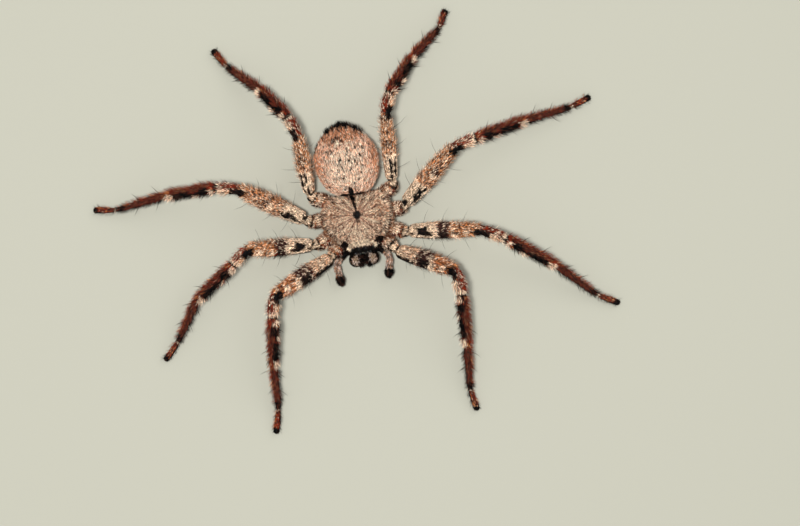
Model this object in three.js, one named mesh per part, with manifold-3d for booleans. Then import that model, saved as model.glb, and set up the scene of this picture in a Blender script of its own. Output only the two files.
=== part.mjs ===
// Huntsman spider, life size, standing with its eight legs spread flat to the sides.
// Millimetres, Z up, head toward -Y, the spider's own right side toward -X.
// Places in plan are first given from the fovea, the dark pit in the middle of the carapace.
// The finished animal is then shifted so that the origin lies on the ground, under the middle
// of its box. Every solid reaches out to the tips of the short coat of hair.
import * as THREE from 'three';
import Module from 'manifold-3d';
import { mergeVertices } from 'three/addons/utils/BufferGeometryUtils.js';

const wasm = await Module();
wasm.setup();

// Driving sizes
const JOINT_GAP = 0.24; // slit between two neighbouring pieces
const LEG_SIDES = 10; // corners of a leg's cross-section
const BODY_SIDES = 24; // corners of the abdomen's cross-section
const HALF = JOINT_GAP / 2;

const HEIGHT = {
  coxa: 2.9, // axis of the coxae beside the sternum
  trochanter: 3.5, // the short knob between coxa and femur
  hip: 3.65, // base of the femur
  knee: 8.0, // joint of femur and patella
  shin: 8.2, // joint of patella and tibia
  ankle: 4.3, // joint of tibia and metatarsus
  heel: 1.2, // joint of metatarsus and tarsus
  toe: 0.62, // axis of the tarsus at its claw tuft
};

// Each leg: the base of its femur in plan, then for femur, patella, tibia, metatarsus and tarsus
// the heading seen from above (degrees, counter-clockwise from +X) and the reach in plan.
const LEGS = {
  r1: { hip: [-5.85, -6.8], heading: [-155, -103, -98.5, -93, -104.5], reach: [12.1, 3.8, 9.0, 7.5, 4.8] },
  r2: { hip: [-8.8, -4.0], heading: [175.5, -140.5, -145, -123.5, -134], reach: [11.7, 3.3, 9.6, 8.0, 4.4] },
  r3: { hip: [-9.35, 0.7], heading: [146.5, 167.5, 179, -173, 171], reach: [12.9, 3.9, 9.5, 9.3, 4.3] },
  r4: { hip: [-7.8, 5.1], heading: [92, 110.5, 126, 136, 120.5], reach: [10.4, 3.7, 7.5, 7.2, 4.2] },
  l1: { hip: [6.1, -7.35], heading: [-27.5, -87, -92.5, -95, -79.5], reach: [11.1, 4.4, 9.2, 7.9, 4.3] },
  l2: { hip: [8.7, -4.2], heading: [-8, -29, -36.5, -44.5, -29], reach: [12.8, 4.6, 10.4, 9.2, 4.5] },
  l3: { hip: [8.9, 0.7], heading: [40.5, 13.5, 11.5, 7.5, 19.5], reach: [13.1, 4.0, 9.8, 8.6, 4.2] },
  l4: { hip: [7.1, 5.3], heading: [86.5, 71, 49.5, 38.5, 62.5], reach: [11.7, 3.6, 8.0, 7.1, 3.8] },
};

// Inner ends of the coxae, beside the sternum, on the left side; the right side mirrors them.
const COXA_FOOT = { 1: [2.4, -3.5], 2: [3.05, -1.6], 3: [3.05, 0.35], 4: [2.4, 2.3] };

// Trochanters of the left side, the knobs that show beyond the rim of the carapace.
const TROCHANTER = { 1: [5.3, -6.1], 2: [7.6, -4.2], 3: [8.3, -0.05], 4: [7.2, 4.0] };

// Greatest width of the femora with their hair, by pair of legs.
const FEMUR_WIDTH = { 1: 3.3, 2: 3.2, 3: 3.4, 4: 2.8 };

// Thickness along each segment: [place along the segment, half-width]. The femur's are parts of
// its greatest half-width, the others are millimetres.
const GIRTH = {
  femur: [
    [0, 0.78], [0.06, 0.88], [0.15, 0.95], [0.3, 1], [0.62, 0.97], [0.82, 0.86], [0.94, 0.76], [1, 0.6],
  ],
  coxa: [[0, 0.78], [0.3, 0.98], [0.62, 1.22], [0.84, 1.3]],
  trochanter: [[0, 1.3], [1, 1.05]],
  patella: [[0, 0.88], [0.2, 1.1], [0.7, 1.14]],
  tibia: [[0, 1.02], [0.14, 1.1], [0.5, 1.08], [0.85, 0.98], [1, 0.86]],
  metatarsus: [[0, 0.82], [0.12, 0.86], [0.5, 0.76], [0.88, 0.66], [1, 0.6]],
};
const JOINT_REACH = 0.25; // part of a segment over which its section turns to the joint's plane
const TARSUS = { heel: 0.56, sole: 0.6, tip: 0.46, soleStart: 0.6, soleEnd: 0.93, height: 0.85 };

const CARAPACE = {
  front: -6.8, rear: 4.2, widest: 0.4, halfWidth: 6.25, headHalfWidth: 3.35, neck: -5.2,
  under: 4.6, rim: 0.35, crown: 7.25, sides: 20, steps: 15,
  rearDraw: 0.86, rearPower: 2.4, // how far and how late the outline draws in at the rear
  sidePower: 0.85, // fullness of the sides between the widest place and the head
  faceDraw: 0.42, // how far the head draws in toward the eyes
  browDrop: 1.05, // how far the midline sinks at the eyes
  archPower: 1.15, // flatness of the arch toward the rim
};
const ABDOMEN = {
  front: 3.35, rear: 16.3, halfWidth: 5.85, halfHeight: 3.75, axis: 4.7, lift: 1.75,
  frontSide: -0.15, rearSide: -0.7, // the abdomen points a little to the spider's right
  bluntFront: 0.75, taperedRear: 1.2, heightPower: 0.95, // fullness of the outline at its ends
  liftPower: 5, sag: 0.25, steps: 14, // how fast the raised front drops, and the rear's sag
};
const SPINNERETS = {
  rootFrom: 14.45, rootTo: 15.75, rootRadius: 1.15, rootTip: 0.75, rootHeight: 2.5,
  cones: [[0.42, 2.75, 0.34], [0.4, 2.2, 0.38]], // distance from the middle, height, radius
  coneMiddle: 15.8, coneLength: 1.5, coneTaper: 0.55,
};
const STERNUM = {
  centre: -0.6, halfWidth: 2.6, halfLength: 3.9, sides: 16,
  levels: [[1.9, 0.55], [2.25, 0.85], [2.8, 1], [4.35, 1]], // height, part of the full outline
};
const PEDICEL = { start: 3.5, end: 5.0, height: 3.5, radius: 0.55 };
const CHELICERA = {
  side: 1.5, sides: 12,
  levels: [ // height, middle along the body, half-width, half-depth
    [4.95, -7.75, 0.66, 0.7], [4.6, -7.8, 1.0, 1.05], [3.9, -7.85, 1.26, 1.35],
    [3.0, -7.85, 1.32, 1.42], [2.1, -7.7, 1.18, 1.25], [1.5, -7.6, 0.9, 0.95],
  ],
};
const FANG = {
  line: [[2.05, -8.2, 1.02], [1.75, -8.35, 0.95], [1.3, -8.2, 0.86], [0.85, -7.75, 0.8], [0.6, -7.2, 0.8]],
  girth: [0.36, 0.34, 0.28, 0.2, 0.12], sides: 8,
};
const EYE_SINK = 0.45; // part of an eye's radius that stands proud of its socket

// Eyes of the left side: [name, distance from the midline, place, height, radius].
const EYES = [
  ['eye_front_middle', 0.48, -6.86, 5.55, 0.24],
  ['eye_front_side', 1.3, -6.8, 5.5, 0.36],
  ['eye_rear_middle', 0.58, -6.02, 6.45, 0.24],
  ['eye_rear_side', 1.95, -5.92, 6.15, 0.32],
];

const PALPS = {
  l: [[1.75, -5.2, 1.9], [4.0, -7.4, 2.0], [4.45, -8.4, 2.3], [4.2, -9.9, 2.3], [3.95, -11.3, 1.6]],
  r: [[1.75, -5.2, 1.8], [4.3, -7.35, 1.9], [5.0, -8.2, 2.2], [4.9, -9.9, 2.3], [4.7, -11.5, 1.6]],
};
const PALP_GIRTH = [0.6, 0.72, 0.78, 0.8, 0.84, 0.95];
const PALP_END = { reach: 0.45, radius: 0.6, sides: 10, steps: 11 };
const EYE_SIDES = { around: 8, down: 5 };
const SOCKET_SIDES = { around: 8, down: 6 };

// Colours, roughness and metalness of the bare model
const FINISH = {
  carapace: new THREE.MeshStandardMaterial({ color: 0xb99a7c, roughness: 0.8, metalness: 0 }),
  abdomen: new THREE.MeshStandardMaterial({ color: 0xcba88b, roughness: 0.85, metalness: 0 }),
  underside: new THREE.MeshStandardMaterial({ color: 0x8a6a50, roughness: 0.85, metalness: 0 }),
  thigh: new THREE.MeshStandardMaterial({ color: 0xa9775a, roughness: 0.8, metalness: 0 }),
  shank: new THREE.MeshStandardMaterial({ color: 0x7a3f28, roughness: 0.75, metalness: 0 }),
  foot: new THREE.MeshStandardMaterial({ color: 0x55261a, roughness: 0.75, metalness: 0 }),
  jaw: new THREE.MeshStandardMaterial({ color: 0x2a201c, roughness: 0.7, metalness: 0 }),
  fang: new THREE.MeshStandardMaterial({ color: 0x1a0d0a, roughness: 0.25, metalness: 0 }),
  eye: new THREE.MeshStandardMaterial({ color: 0x080808, roughness: 0.08, metalness: 0 }),
};

// Vectors
const UP = new THREE.Vector3(0, 0, 1);
const vec = (x, y, z) => new THREE.Vector3(x, y, z);
const mirrored = (points, side) => points.map(([x, y, z]) => vec(side * x, y, z));

// Lofts

/** Closed body through rings of equal count: flat or pointed ends, faces pointing out. */
function loft(rings) {
  const sides = Math.max(...rings.map((ring) => ring.length));
  const positions = [];
  const faces = [];
  const starts = rings.map((ring) => {
    const start = positions.length / 3;
    ring.forEach((point) => positions.push(point.x, point.y, point.z));
    return start;
  });
  for (let k = 0; k + 1 < rings.length; k += 1) {
    for (let i = 0; i < sides; i += 1) {
      const j = (i + 1) % sides;
      const a = starts[k] + (rings[k].length === 1 ? 0 : i);
      const b = starts[k] + (rings[k].length === 1 ? 0 : j);
      const c = starts[k + 1] + (rings[k + 1].length === 1 ? 0 : i);
      const d = starts[k + 1] + (rings[k + 1].length === 1 ? 0 : j);
      if (a !== b) faces.push(a, b, c);
      if (c !== d) faces.push(b, d, c);
    }
  }
  const last = starts[starts.length - 1];
  for (let i = 1; i + 1 < sides; i += 1) {
    if (rings[0].length > 1) faces.push(starts[0], starts[0] + i + 1, starts[0] + i);
    if (rings[rings.length - 1].length > 1) faces.push(last, last + i, last + i + 1);
  }
  return facingOut(positions, faces);
}

/** Geometry of the given vertices and faces, turned so that it encloses a positive volume. */
function facingOut(positions, faces) {
  const corner = (index) => vec(positions[3 * index], positions[3 * index + 1], positions[3 * index + 2]);
  let volume = 0;
  for (let f = 0; f < faces.length; f += 3) {
    volume += corner(faces[f]).dot(corner(faces[f + 1]).cross(corner(faces[f + 2])));
  }
  if (volume < 0) faces.reverse();
  const geometry = new THREE.BufferGeometry();
  geometry.setAttribute('position', new THREE.Float32BufferAttribute(positions, 3));
  geometry.setIndex(faces);
  geometry.computeVertexNormals();
  return geometry;
}

/** Ring round an axis: an oval square to the axis, slid along it into a tilted plane. */
function tiltedRing(centre, axis, plane, halfWidth, halfHeight, sides) {
  const side = axis.clone().cross(UP).normalize();
  const over = side.clone().cross(axis).normalize();
  const ring = [];
  for (let i = 0; i < sides; i += 1) {
    const angle = ((i + 0.5) / sides) * 2 * Math.PI - Math.PI / 2;
    const point = side.clone().multiplyScalar(halfWidth * Math.cos(angle));
    point.addScaledVector(over, halfHeight * Math.sin(angle));
    point.addScaledVector(axis, -point.dot(plane) / axis.dot(plane));
    ring.push(point.add(centre));
  }
  return ring;
}

/**
 * Limb along a bent line. Between two joints the cross-section turns from the plane of one
 * joint to the plane of the next, so that two limbs meet in one plane at the joint they share.
 */
function limb(points, planes, girths, sides) {
  const rings = [];
  for (let k = 0; k + 1 < points.length; k += 1) {
    const axis = points[k + 1].clone().sub(points[k]).normalize();
    girths[k].forEach(([place, halfWidth]) => {
      const centre = points[k].clone().lerp(points[k + 1], place);
      const bend = THREE.MathUtils.clamp(1 - Math.min(place, 1 - place) / JOINT_REACH, 0, 1);
      const plane = axis.clone().lerp(planes[place < 0.5 ? k : k + 1], bend).normalize();
      rings.push(tiltedRing(centre, axis, plane, halfWidth, halfWidth, sides));
    });
  }
  return loft(rings);
}

// Legs

/** The joints of one leg in space, from its hip to the tip of its tarsus. */
function legJoints({ hip, heading, reach }) {
  const heights = [HEIGHT.knee, HEIGHT.shin, HEIGHT.ankle, HEIGHT.heel, HEIGHT.toe];
  const joints = [vec(hip[0], hip[1], HEIGHT.hip)];
  heading.forEach((degrees, k) => {
    const angle = THREE.MathUtils.degToRad(degrees);
    const from = joints[k];
    joints.push(vec(from.x + reach[k] * Math.cos(angle), from.y + reach[k] * Math.sin(angle), heights[k]));
  });
  return joints;
}

/** Directions of the pieces of a bent line and, at each of its points, the plane between two. */
function jointPlanes(points) {
  const runs = points.slice(1).map((point, k) => point.clone().sub(points[k]).normalize());
  return points.map((_, k) => {
    const before = runs[Math.max(k - 1, 0)];
    const after = runs[Math.min(k, runs.length - 1)];
    return before.clone().add(after).normalize();
  });
}

/** Line shortened by a distance at its start and at its end. */
function shortened(points, atStart, atEnd) {
  const line = points.map((point) => point.clone());
  const n = line.length;
  line[0].addScaledVector(points[1].clone().sub(points[0]).normalize(), atStart);
  line[n - 1].addScaledVector(points[n - 2].clone().sub(points[n - 1]).normalize(), atEnd);
  return line;
}

/** Tarsus: a short flattened limb whose claw tuft rests on the ground with a small flat sole. */
function tarsus(heel, toe, heelPlane) {
  const axis = toe.clone().sub(heel).normalize();
  const level = vec(axis.x, axis.y, 0).normalize();
  const stations = [
    [0, TARSUS.heel], [0.2, TARSUS.heel], [TARSUS.soleStart, TARSUS.sole],
    [TARSUS.soleEnd, TARSUS.sole], [1, TARSUS.tip],
  ];
  const rings = stations.map(([place, half]) => {
    const centre = heel.clone().lerp(toe, place);
    const plane = place === 0 ? heelPlane : level;
    const ring = tiltedRing(centre, axis, plane, half, half * TARSUS.height, LEG_SIDES);
    if (place < TARSUS.soleStart) return ring;
    const lowest = place === 1 ? TARSUS.tip / 2 : 0;
    ring.forEach((point, i) => {
      if (i === 0 || i === LEG_SIDES - 1) point.z = lowest;
    });
    return ring;
  });
  return loft(rings);
}

/** The five nodes of one leg: coxa, femur, patella and tibia, metatarsus, tarsus. */
function buildLeg(name, plan) {
  const side = name[0] === 'r' ? -1 : 1;
  const pair = Number(name[1]);
  const [hip, knee, shin, ankle, heel, toe] = legJoints(plan);
  const planes = jointPlanes([hip, knee, shin, ankle, heel, toe]);
  const thigh = knee.clone().sub(hip).normalize();
  const [footX, footY] = COXA_FOOT[pair];
  const [knobX, knobY] = TROCHANTER[pair];
  const coxaLine = [vec(side * footX, footY, HEIGHT.coxa), vec(side * knobX, knobY, HEIGHT.trochanter), hip];
  const coxaPlanes = jointPlanes(coxaLine);
  coxaPlanes[2] = thigh;
  const thick = FEMUR_WIDTH[pair] / 2;
  const femurGirth = GIRTH.femur.map(([place, part]) => [place, part * thick]);
  const shank = shortened([knee, shin, ankle], HALF, HALF);
  const metatarsus = shortened([ankle, heel], HALF, HALF);
  const foot = shortened([heel, toe], HALF, 0);
  return [
    [`coxa_${name}`, limb(shortened(coxaLine, 0, HALF), coxaPlanes,
      [GIRTH.coxa, GIRTH.trochanter], LEG_SIDES), FINISH.thigh],
    [`femur_${name}`, limb(shortened([hip, knee], HALF, HALF), [thigh, planes[1]],
      [femurGirth], LEG_SIDES), FINISH.thigh],
    [`patella_tibia_${name}`, limb(shank, [planes[1], planes[2], planes[3]],
      [GIRTH.patella, GIRTH.tibia], LEG_SIDES), FINISH.shank],
    [`metatarsus_${name}`, limb(metatarsus, [planes[3], planes[4]],
      [GIRTH.metatarsus], LEG_SIDES), FINISH.foot],
    [`tarsus_${name}`, tarsus(foot[0], foot[1], planes[4]), FINISH.foot],
  ];
}

// Prosoma

/** Half-width of the carapace at a place along the body: a round plate drawn in to the head. */
function carapaceHalfWidth(y) {
  const { front, rear, widest, halfWidth, headHalfWidth, neck } = CARAPACE;
  if (y >= widest) {
    const part = Math.pow((y - widest) / (rear - widest), CARAPACE.rearPower);
    return halfWidth * Math.sqrt(1 - CARAPACE.rearDraw * part);
  }
  if (y >= neck) {
    const part = (widest - y) / (widest - neck);
    const swell = Math.pow(Math.cos((part * Math.PI) / 2), CARAPACE.sidePower);
    return headHalfWidth + (halfWidth - headHalfWidth) * swell;
  }
  const part = (neck - y) / (neck - front);
  return headHalfWidth * Math.sqrt(1 - CARAPACE.faceDraw * Math.pow(part, 3));
}

/** Height of the carapace's midline: a long low crown with a steep rear slope. */
function carapaceCrown(y) {
  const { front, rear, crown, under, rim } = CARAPACE;
  const low = under + rim;
  if (y > 0) return low + (crown - low) * Math.pow(1 - Math.pow(y / rear, 2.2), 0.9) + 0.02;
  const part = y / front;
  return crown - CARAPACE.browDrop * Math.pow(part, 4);
}

/** Cross-section of the carapace: flat below, an upright rim and an arch over it. */
function carapaceSection(y) {
  const { under, rim, sides } = CARAPACE;
  const half = carapaceHalfWidth(y);
  const rise = carapaceCrown(y) - under - rim;
  const ring = [vec(half, y, under)];
  for (let i = 0; i <= sides; i += 1) {
    const angle = (i / sides) * Math.PI;
    const arch = Math.pow(Math.sin(angle), CARAPACE.archPower);
    ring.push(vec(half * Math.cos(angle), y, under + rim + rise * arch));
  }
  ring.push(vec(-half, y, under));
  return ring;
}

/** Solid of a geometry for joining and cutting. */
function solid(geometry) {
  const bare = geometry.clone();
  bare.deleteAttribute('normal');
  bare.deleteAttribute('uv');
  const merged = mergeVertices(bare, 1e-4);
  return new wasm.Manifold(new wasm.Mesh({
    numProp: 3,
    vertProperties: new Float32Array(merged.attributes.position.array),
    triVerts: new Uint32Array(merged.index.array),
  }));
}

/** Geometry of a solid. */
function shapeOf(body) {
  const mesh = body.getMesh();
  const geometry = new THREE.BufferGeometry();
  geometry.setAttribute('position', new THREE.Float32BufferAttribute(mesh.vertProperties, 3));
  geometry.setIndex(Array.from(mesh.triVerts));
  geometry.computeVertexNormals();
  return geometry;
}

/** Ball of a given size at a place. */
function ball(x, y, z, radius, { around, down }) {
  return new THREE.SphereGeometry(radius, around, down).translate(x, y, z);
}

function buildCarapace() {
  const { front, rear, steps } = CARAPACE;
  const rings = [];
  for (let k = 0; k <= steps; k += 1) {
    const place = (1 - Math.cos((k / steps) * Math.PI)) / 2;
    rings.push(carapaceSection(front + (rear - front) * place));
  }
  let body = solid(loft(rings));
  for (const [, x, y, z, radius] of EYES) {
    for (const side of [-1, 1]) {
      const socket = ball(side * x, y + radius * EYE_SINK, z, radius + HALF, SOCKET_SIDES);
      body = body.subtract(solid(socket));
    }
  }
  body = body.subtract(solid(abdomenShape(JOINT_GAP)));
  return [['carapace', shapeOf(body), FINISH.carapace]];
}

function buildEyes() {
  return EYES.flatMap(([name, x, y, z, radius]) => [-1, 1].map((side) => [
    `${name}_${side < 0 ? 'r' : 'l'}`,
    ball(side * x, y + radius * EYE_SINK, z, radius, EYE_SIDES),
    FINISH.eye,
  ]));
}

function buildSternum() {
  const { centre, halfWidth, halfLength, levels, sides } = STERNUM;
  const rings = levels.map(([z, part]) => Array.from({ length: sides }, (_, i) => {
    const angle = (i / sides) * 2 * Math.PI;
    return vec(halfWidth * part * Math.cos(angle), centre + halfLength * part * Math.sin(angle), z);
  }));
  return [['sternum', loft(rings), FINISH.underside]];
}

/** Chelicera: a stout jaw that bulges forward under the eyes and narrows to its fang. */
function buildChelicerae() {
  const { side: apart, levels, sides } = CHELICERA;
  return [-1, 1].map((side) => {
    const rings = levels.map(([z, y, wide, deep]) => Array.from({ length: sides }, (_, i) => {
      const angle = (i / sides) * 2 * Math.PI;
      return vec(side * (apart + wide * Math.cos(angle)), y + deep * Math.sin(angle), z);
    }));
    return [`chelicera_${side < 0 ? 'r' : 'l'}`, loft(rings), FINISH.jaw];
  });
}

/** Fang: a curved hook folded inward under its chelicera. */
function buildFangs() {
  const { line, girth, sides } = FANG;
  return [-1, 1].map((side) => {
    const points = mirrored(line, side);
    const planes = jointPlanes(points);
    const ring = (point, k) => tiltedRing(point, planes[k], planes[k], girth[k], girth[k], sides);
    const rings = points.map(ring);
    return [`fang_${side < 0 ? 'r' : 'l'}`, loft(rings), FINISH.fang];
  });
}

/** Palp: a short leg-like feeler that bends forward at its elbow and ends in a dark tuft. */
function buildPalps() {
  const { reach, radius, sides, steps } = PALP_END;
  return ['l', 'r'].map((name) => {
    const curve = new THREE.CatmullRomCurve3(mirrored(PALPS[name], name === 'r' ? -1 : 1));
    const rings = [];
    for (let k = 0; k <= steps; k += 1) {
      const place = k / steps;
      const spread = place * (PALP_GIRTH.length - 1);
      const low = Math.min(Math.floor(spread), PALP_GIRTH.length - 2);
      const half = THREE.MathUtils.lerp(PALP_GIRTH[low], PALP_GIRTH[low + 1], spread - low);
      const axis = curve.getTangent(place);
      rings.push(tiltedRing(curve.getPoint(place), axis, axis, half, half, sides));
    }
    const end = curve.getPoint(1);
    const axis = curve.getTangent(1);
    rings.push(tiltedRing(end.clone().addScaledVector(axis, reach), axis, axis, radius, radius, sides));
    return [`palp_${name}`, loft(rings), FINISH.shank];
  });
}

// Opisthosoma

/** Abdomen grown by a margin: an egg whose front end rises over the rear of the carapace. */
function abdomenShape(margin) {
  const { front, rear, halfWidth, halfHeight, axis, lift, steps } = ABDOMEN;
  const rings = [];
  for (let k = 0; k <= steps; k += 1) {
    const angle = (k / steps) * Math.PI;
    const place = (1 - Math.cos(angle)) / 2;
    const y = front - margin + (rear - front + 2 * margin) * place;
    const x = THREE.MathUtils.lerp(ABDOMEN.frontSide, ABDOMEN.rearSide, place);
    const power = THREE.MathUtils.lerp(ABDOMEN.bluntFront, ABDOMEN.taperedRear, place);
    const round = Math.pow(Math.sin(angle), power);
    const z = axis + lift * Math.pow(1 - place, ABDOMEN.liftPower) - ABDOMEN.sag * place;
    if (k === 0 || k === steps) {
      rings.push([vec(x, y, z)]);
      continue;
    }
    const wide = (halfWidth + margin) * round;
    const high = (halfHeight + margin) * Math.pow(Math.sin(angle), ABDOMEN.heightPower);
    rings.push(Array.from({ length: BODY_SIDES }, (_, i) => {
      const turn = (i / BODY_SIDES) * 2 * Math.PI;
      return vec(x + wide * Math.cos(turn), y, z + high * Math.sin(turn));
    }));
  }
  return loft(rings);
}

/** Tapered peg along the body, from its thick front end to its thin rear end. */
function peg(x, middle, z, thin, thick, length, sides) {
  return new THREE.CylinderGeometry(thin, thick, length, sides).rotateX(Math.PI / 2).translate(x, middle, z);
}

/** Spinnerets: two pairs of blunt cones under the rear of the abdomen, as one piece. */
function buildSpinnerets() {
  const { rootFrom, rootTo, rootTip, rootRadius, rootHeight, cones, coneMiddle, coneLength } = SPINNERETS;
  const middle = ABDOMEN.rearSide;
  const rootMiddle = (rootFrom + rootTo) / 2;
  let body = solid(peg(middle, rootMiddle, rootHeight, rootTip, rootRadius, rootTo - rootFrom, 12));
  for (const [x, z, radius] of cones) {
    for (const side of [-1, 1]) {
      const tip = radius * SPINNERETS.coneTaper;
      body = body.add(solid(peg(middle + side * x, coneMiddle, z, tip, radius, coneLength, 8)));
    }
  }
  return [['spinnerets', shapeOf(body.subtract(solid(abdomenShape(JOINT_GAP)))), FINISH.underside]];
}

function buildPedicel() {
  const { start, end, height, radius } = PEDICEL;
  const rod = new THREE.CylinderGeometry(radius, radius, end - start, 10);
  rod.translate(0, (start + end) / 2, height);
  const cut = solid(rod).subtract(solid(abdomenShape(JOINT_GAP)));
  return [['pedicel', shapeOf(cut), FINISH.underside]];
}

// Assembly
const pieces = [
  ...Object.entries(LEGS).flatMap(([name, plan]) => buildLeg(name, plan)),
  ...buildCarapace(),
  ...buildEyes(),
  ...buildSternum(),
  ...buildChelicerae(),
  ...buildFangs(),
  ...buildPalps(),
  ['abdomen', abdomenShape(0), FINISH.abdomen],
  ...buildSpinnerets(),
  ...buildPedicel(),
];

const spider = new THREE.Group();
for (const [name, geometry, material] of pieces) {
  const mesh = new THREE.Mesh(geometry, material);
  mesh.name = name;
  spider.add(mesh);
}
const box = new THREE.Box3().setFromObject(spider);
const middle = box.getCenter(new THREE.Vector3());
spider.position.set(-middle.x, -middle.y, -box.min.z);

export default spider;
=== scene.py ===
"""Huntsman spider, life size, standing with its eight legs spread: skin, plates, eyes and coat.

Shapes are worked out in millimetres from the fovea, the dark pit in the middle of the carapace,
with Z up, the head toward -Y and the spider's own right side toward -X. A mesh is moved into
the frame and into metres when it is made. Every surface is a grid of rows that run along the
part and columns that run round it. The coat grows on these grids and reads its markings there.
"""

import logging
import math
from dataclasses import dataclass, field, replace
from enum import IntEnum

import bpy
import numpy as np
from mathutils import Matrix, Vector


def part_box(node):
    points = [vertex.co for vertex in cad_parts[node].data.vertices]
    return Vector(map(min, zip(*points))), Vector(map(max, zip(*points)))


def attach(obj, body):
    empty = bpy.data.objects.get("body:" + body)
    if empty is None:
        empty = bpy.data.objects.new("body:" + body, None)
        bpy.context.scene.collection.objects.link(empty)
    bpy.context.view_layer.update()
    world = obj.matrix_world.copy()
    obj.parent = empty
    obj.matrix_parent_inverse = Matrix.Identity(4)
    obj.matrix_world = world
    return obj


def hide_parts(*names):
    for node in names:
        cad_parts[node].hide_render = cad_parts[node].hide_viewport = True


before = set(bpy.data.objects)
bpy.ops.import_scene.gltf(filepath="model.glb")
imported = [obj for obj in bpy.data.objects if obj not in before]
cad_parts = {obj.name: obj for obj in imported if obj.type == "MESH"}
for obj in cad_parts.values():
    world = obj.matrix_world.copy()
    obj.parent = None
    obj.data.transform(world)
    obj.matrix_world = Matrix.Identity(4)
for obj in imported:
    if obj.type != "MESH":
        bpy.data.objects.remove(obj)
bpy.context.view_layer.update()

Array = np.ndarray
Point = tuple[float, float, float]
Rows = tuple[tuple, ...]
MM = 0.001
UP = np.array([0.0, 0.0, 1.0])
LOG = logging.getLogger("spider")


class Tone(IntEnum):
    """Colours of the markings, in the order of their channels."""

    BLACK = 0
    CREAM = 1
    RUST = 2
    DUSK = 3
    ORANGE = 4
    SHADE = 5


class Segment(IntEnum):
    """Segments of a leg from the body outward, numbered as its line counts them."""

    COXA = 0
    TROCHANTER = 1
    FEMUR = 2
    PATELLA = 3
    TIBIA = 4
    METATARSUS = 5
    TARSUS = 6


BLACK, CREAM, RUST, DUSK, ORANGE, SHADE = Tone
SIDES = (-1, 1)


# Small formulas


def linear(colour: str) -> tuple[float, float, float, float]:
    """Turns an sRGB hex colour into linear light.

    Args:
        colour: six hex digits.

    Returns:
        Red, green and blue in linear light, and 1 for alpha.
    """
    parts = [int(colour[k : k + 2], 16) / 255 for k in (0, 2, 4)]
    light = [c / 12.92 if c <= 0.04045 else ((c + 0.055) / 1.055) ** 2.4 for c in parts]
    return light[0], light[1], light[2], 1.0


def ramp(value: Array, edge: Array | float, width: float) -> Array:
    """Rises from 0 to 1 round an edge along a smooth S, 3t^2 - 2t^3.

    Args:
        value: what is compared with the edge.
        edge: where the S is halfway up.
        width: width of the rise. Where it is negative, the S falls.

    Returns:
        The S at each value.
    """
    t = np.clip((value - edge) / width + 0.5, 0, 1)
    return t * t * (3 - 2 * t)


def bell(value: Array, width: float) -> Array:
    """Bell curve: e to the power of minus the square of value over width."""
    return np.exp(-((value / width) ** 2))


def unit(vectors: Array) -> Array:
    """Scales vectors to length 1."""
    return vectors / np.maximum(np.linalg.norm(vectors, axis=-1, keepdims=True), 1e-9)


def level_with(vectors: Array, normal: Array) -> Array:
    """Vectors laid flat on the surfaces that have a given normal, with length 1."""
    return unit(vectors - normal * np.sum(vectors * normal, axis=1, keepdims=True))


def read_table(value: Array, table: Rows) -> Array:
    """Reads a table of two columns at a value of the first one, along straight lines between rows."""
    return np.interp(value, *np.array(table, float).T)


def grid(*parts: Array | float) -> Array:
    """Spreads coordinates over one grid and stacks them along a last axis."""
    return np.stack(np.broadcast_arrays(*parts), -1).astype(float)


def full_turn(count: int, start: float = 0.0) -> Array:
    """Angles that part a full turn evenly."""
    return np.linspace(start, start + 2 * math.pi, count, endpoint=False)


def run_length(points: Array) -> Array:
    """Distance of each point from the first along the line through all of them."""
    return np.concatenate([[0], np.cumsum(np.linalg.norm(np.diff(points, axis=0), axis=1))])


def line_at(distance: Array, along: Array, points: Array) -> Array:
    """Places at given distances along a line of points that lie at known distances."""
    return np.column_stack([np.interp(distance, along, points[:, k]) for k in range(3)])


def ripple(x: Array, y: Array, seed: int, waves: int = 7) -> Array:
    """Uneven field between about -1 and 1: the mean of a few plane sine waves, each with a
    seeded direction, pitch and phase.

    Args:
        x: first coordinate, in wavelengths.
        y: second coordinate, in wavelengths.
        seed: picks the field.
        waves: number of sine waves.

    Returns:
        The field at each place.
    """
    draw = np.random.default_rng(seed)
    total = np.zeros(np.broadcast(x, y).shape)
    for _ in range(waves):
        angle, phase = draw.uniform(0, 2 * math.pi, 2)
        pitch = 2 * math.pi * draw.uniform(0.6, 1.7)
        total += np.sin(pitch * (x * math.cos(angle) + y * math.sin(angle)) + phase)
    return total / waves * 1.7


def speckle(x: Array, y: Array, size: float, cover: float, seed: int) -> Array:
    """Scattered soft dots: a ripple cut at the height that leaves a given part of it above.

    Args:
        x: first coordinate in millimetres.
        y: second coordinate.
        size: spacing of the dots.
        cover: part of the surface that they cover.
        seed: picks the pattern.

    Returns:
        Strength from 0 to 1.
    """
    height = ripple(x / size, y / size, seed, 13)
    return ramp(height, np.quantile(height, 1 - cover) - 0.014, 0.14)


def cell_noise(i: Array, j: Array, seed: int) -> Array:
    """A number from 0 to 1 for each cell: the fraction of a large sine of row and column."""
    return np.modf(np.abs(np.sin(i * 127.1 + j * 311.7 + seed * 74.7)) * 43758.5453)[0]


def strengthen(marks: Array, tone: Tone, strength: Array) -> None:
    """Raises one tone of the markings to a strength where it is weaker."""
    np.maximum(marks[..., tone], strength, out=marks[..., tone])


def smoothed(values: Array, width: int) -> Array:
    """Running mean over an odd number of rows, with the end rows held.

    Args:
        values: the rows.
        width: number of rows in a mean.

    Returns:
        As many rows, smoothed.
    """
    reach = width // 2
    padded = np.concatenate([np.repeat(values[:1], reach, 0), values, np.repeat(values[-1:], reach, 0)])
    total = np.cumsum(np.concatenate([np.zeros_like(padded[:1]), padded]), axis=0)
    return (total[width:] - total[:-width]) / width


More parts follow.
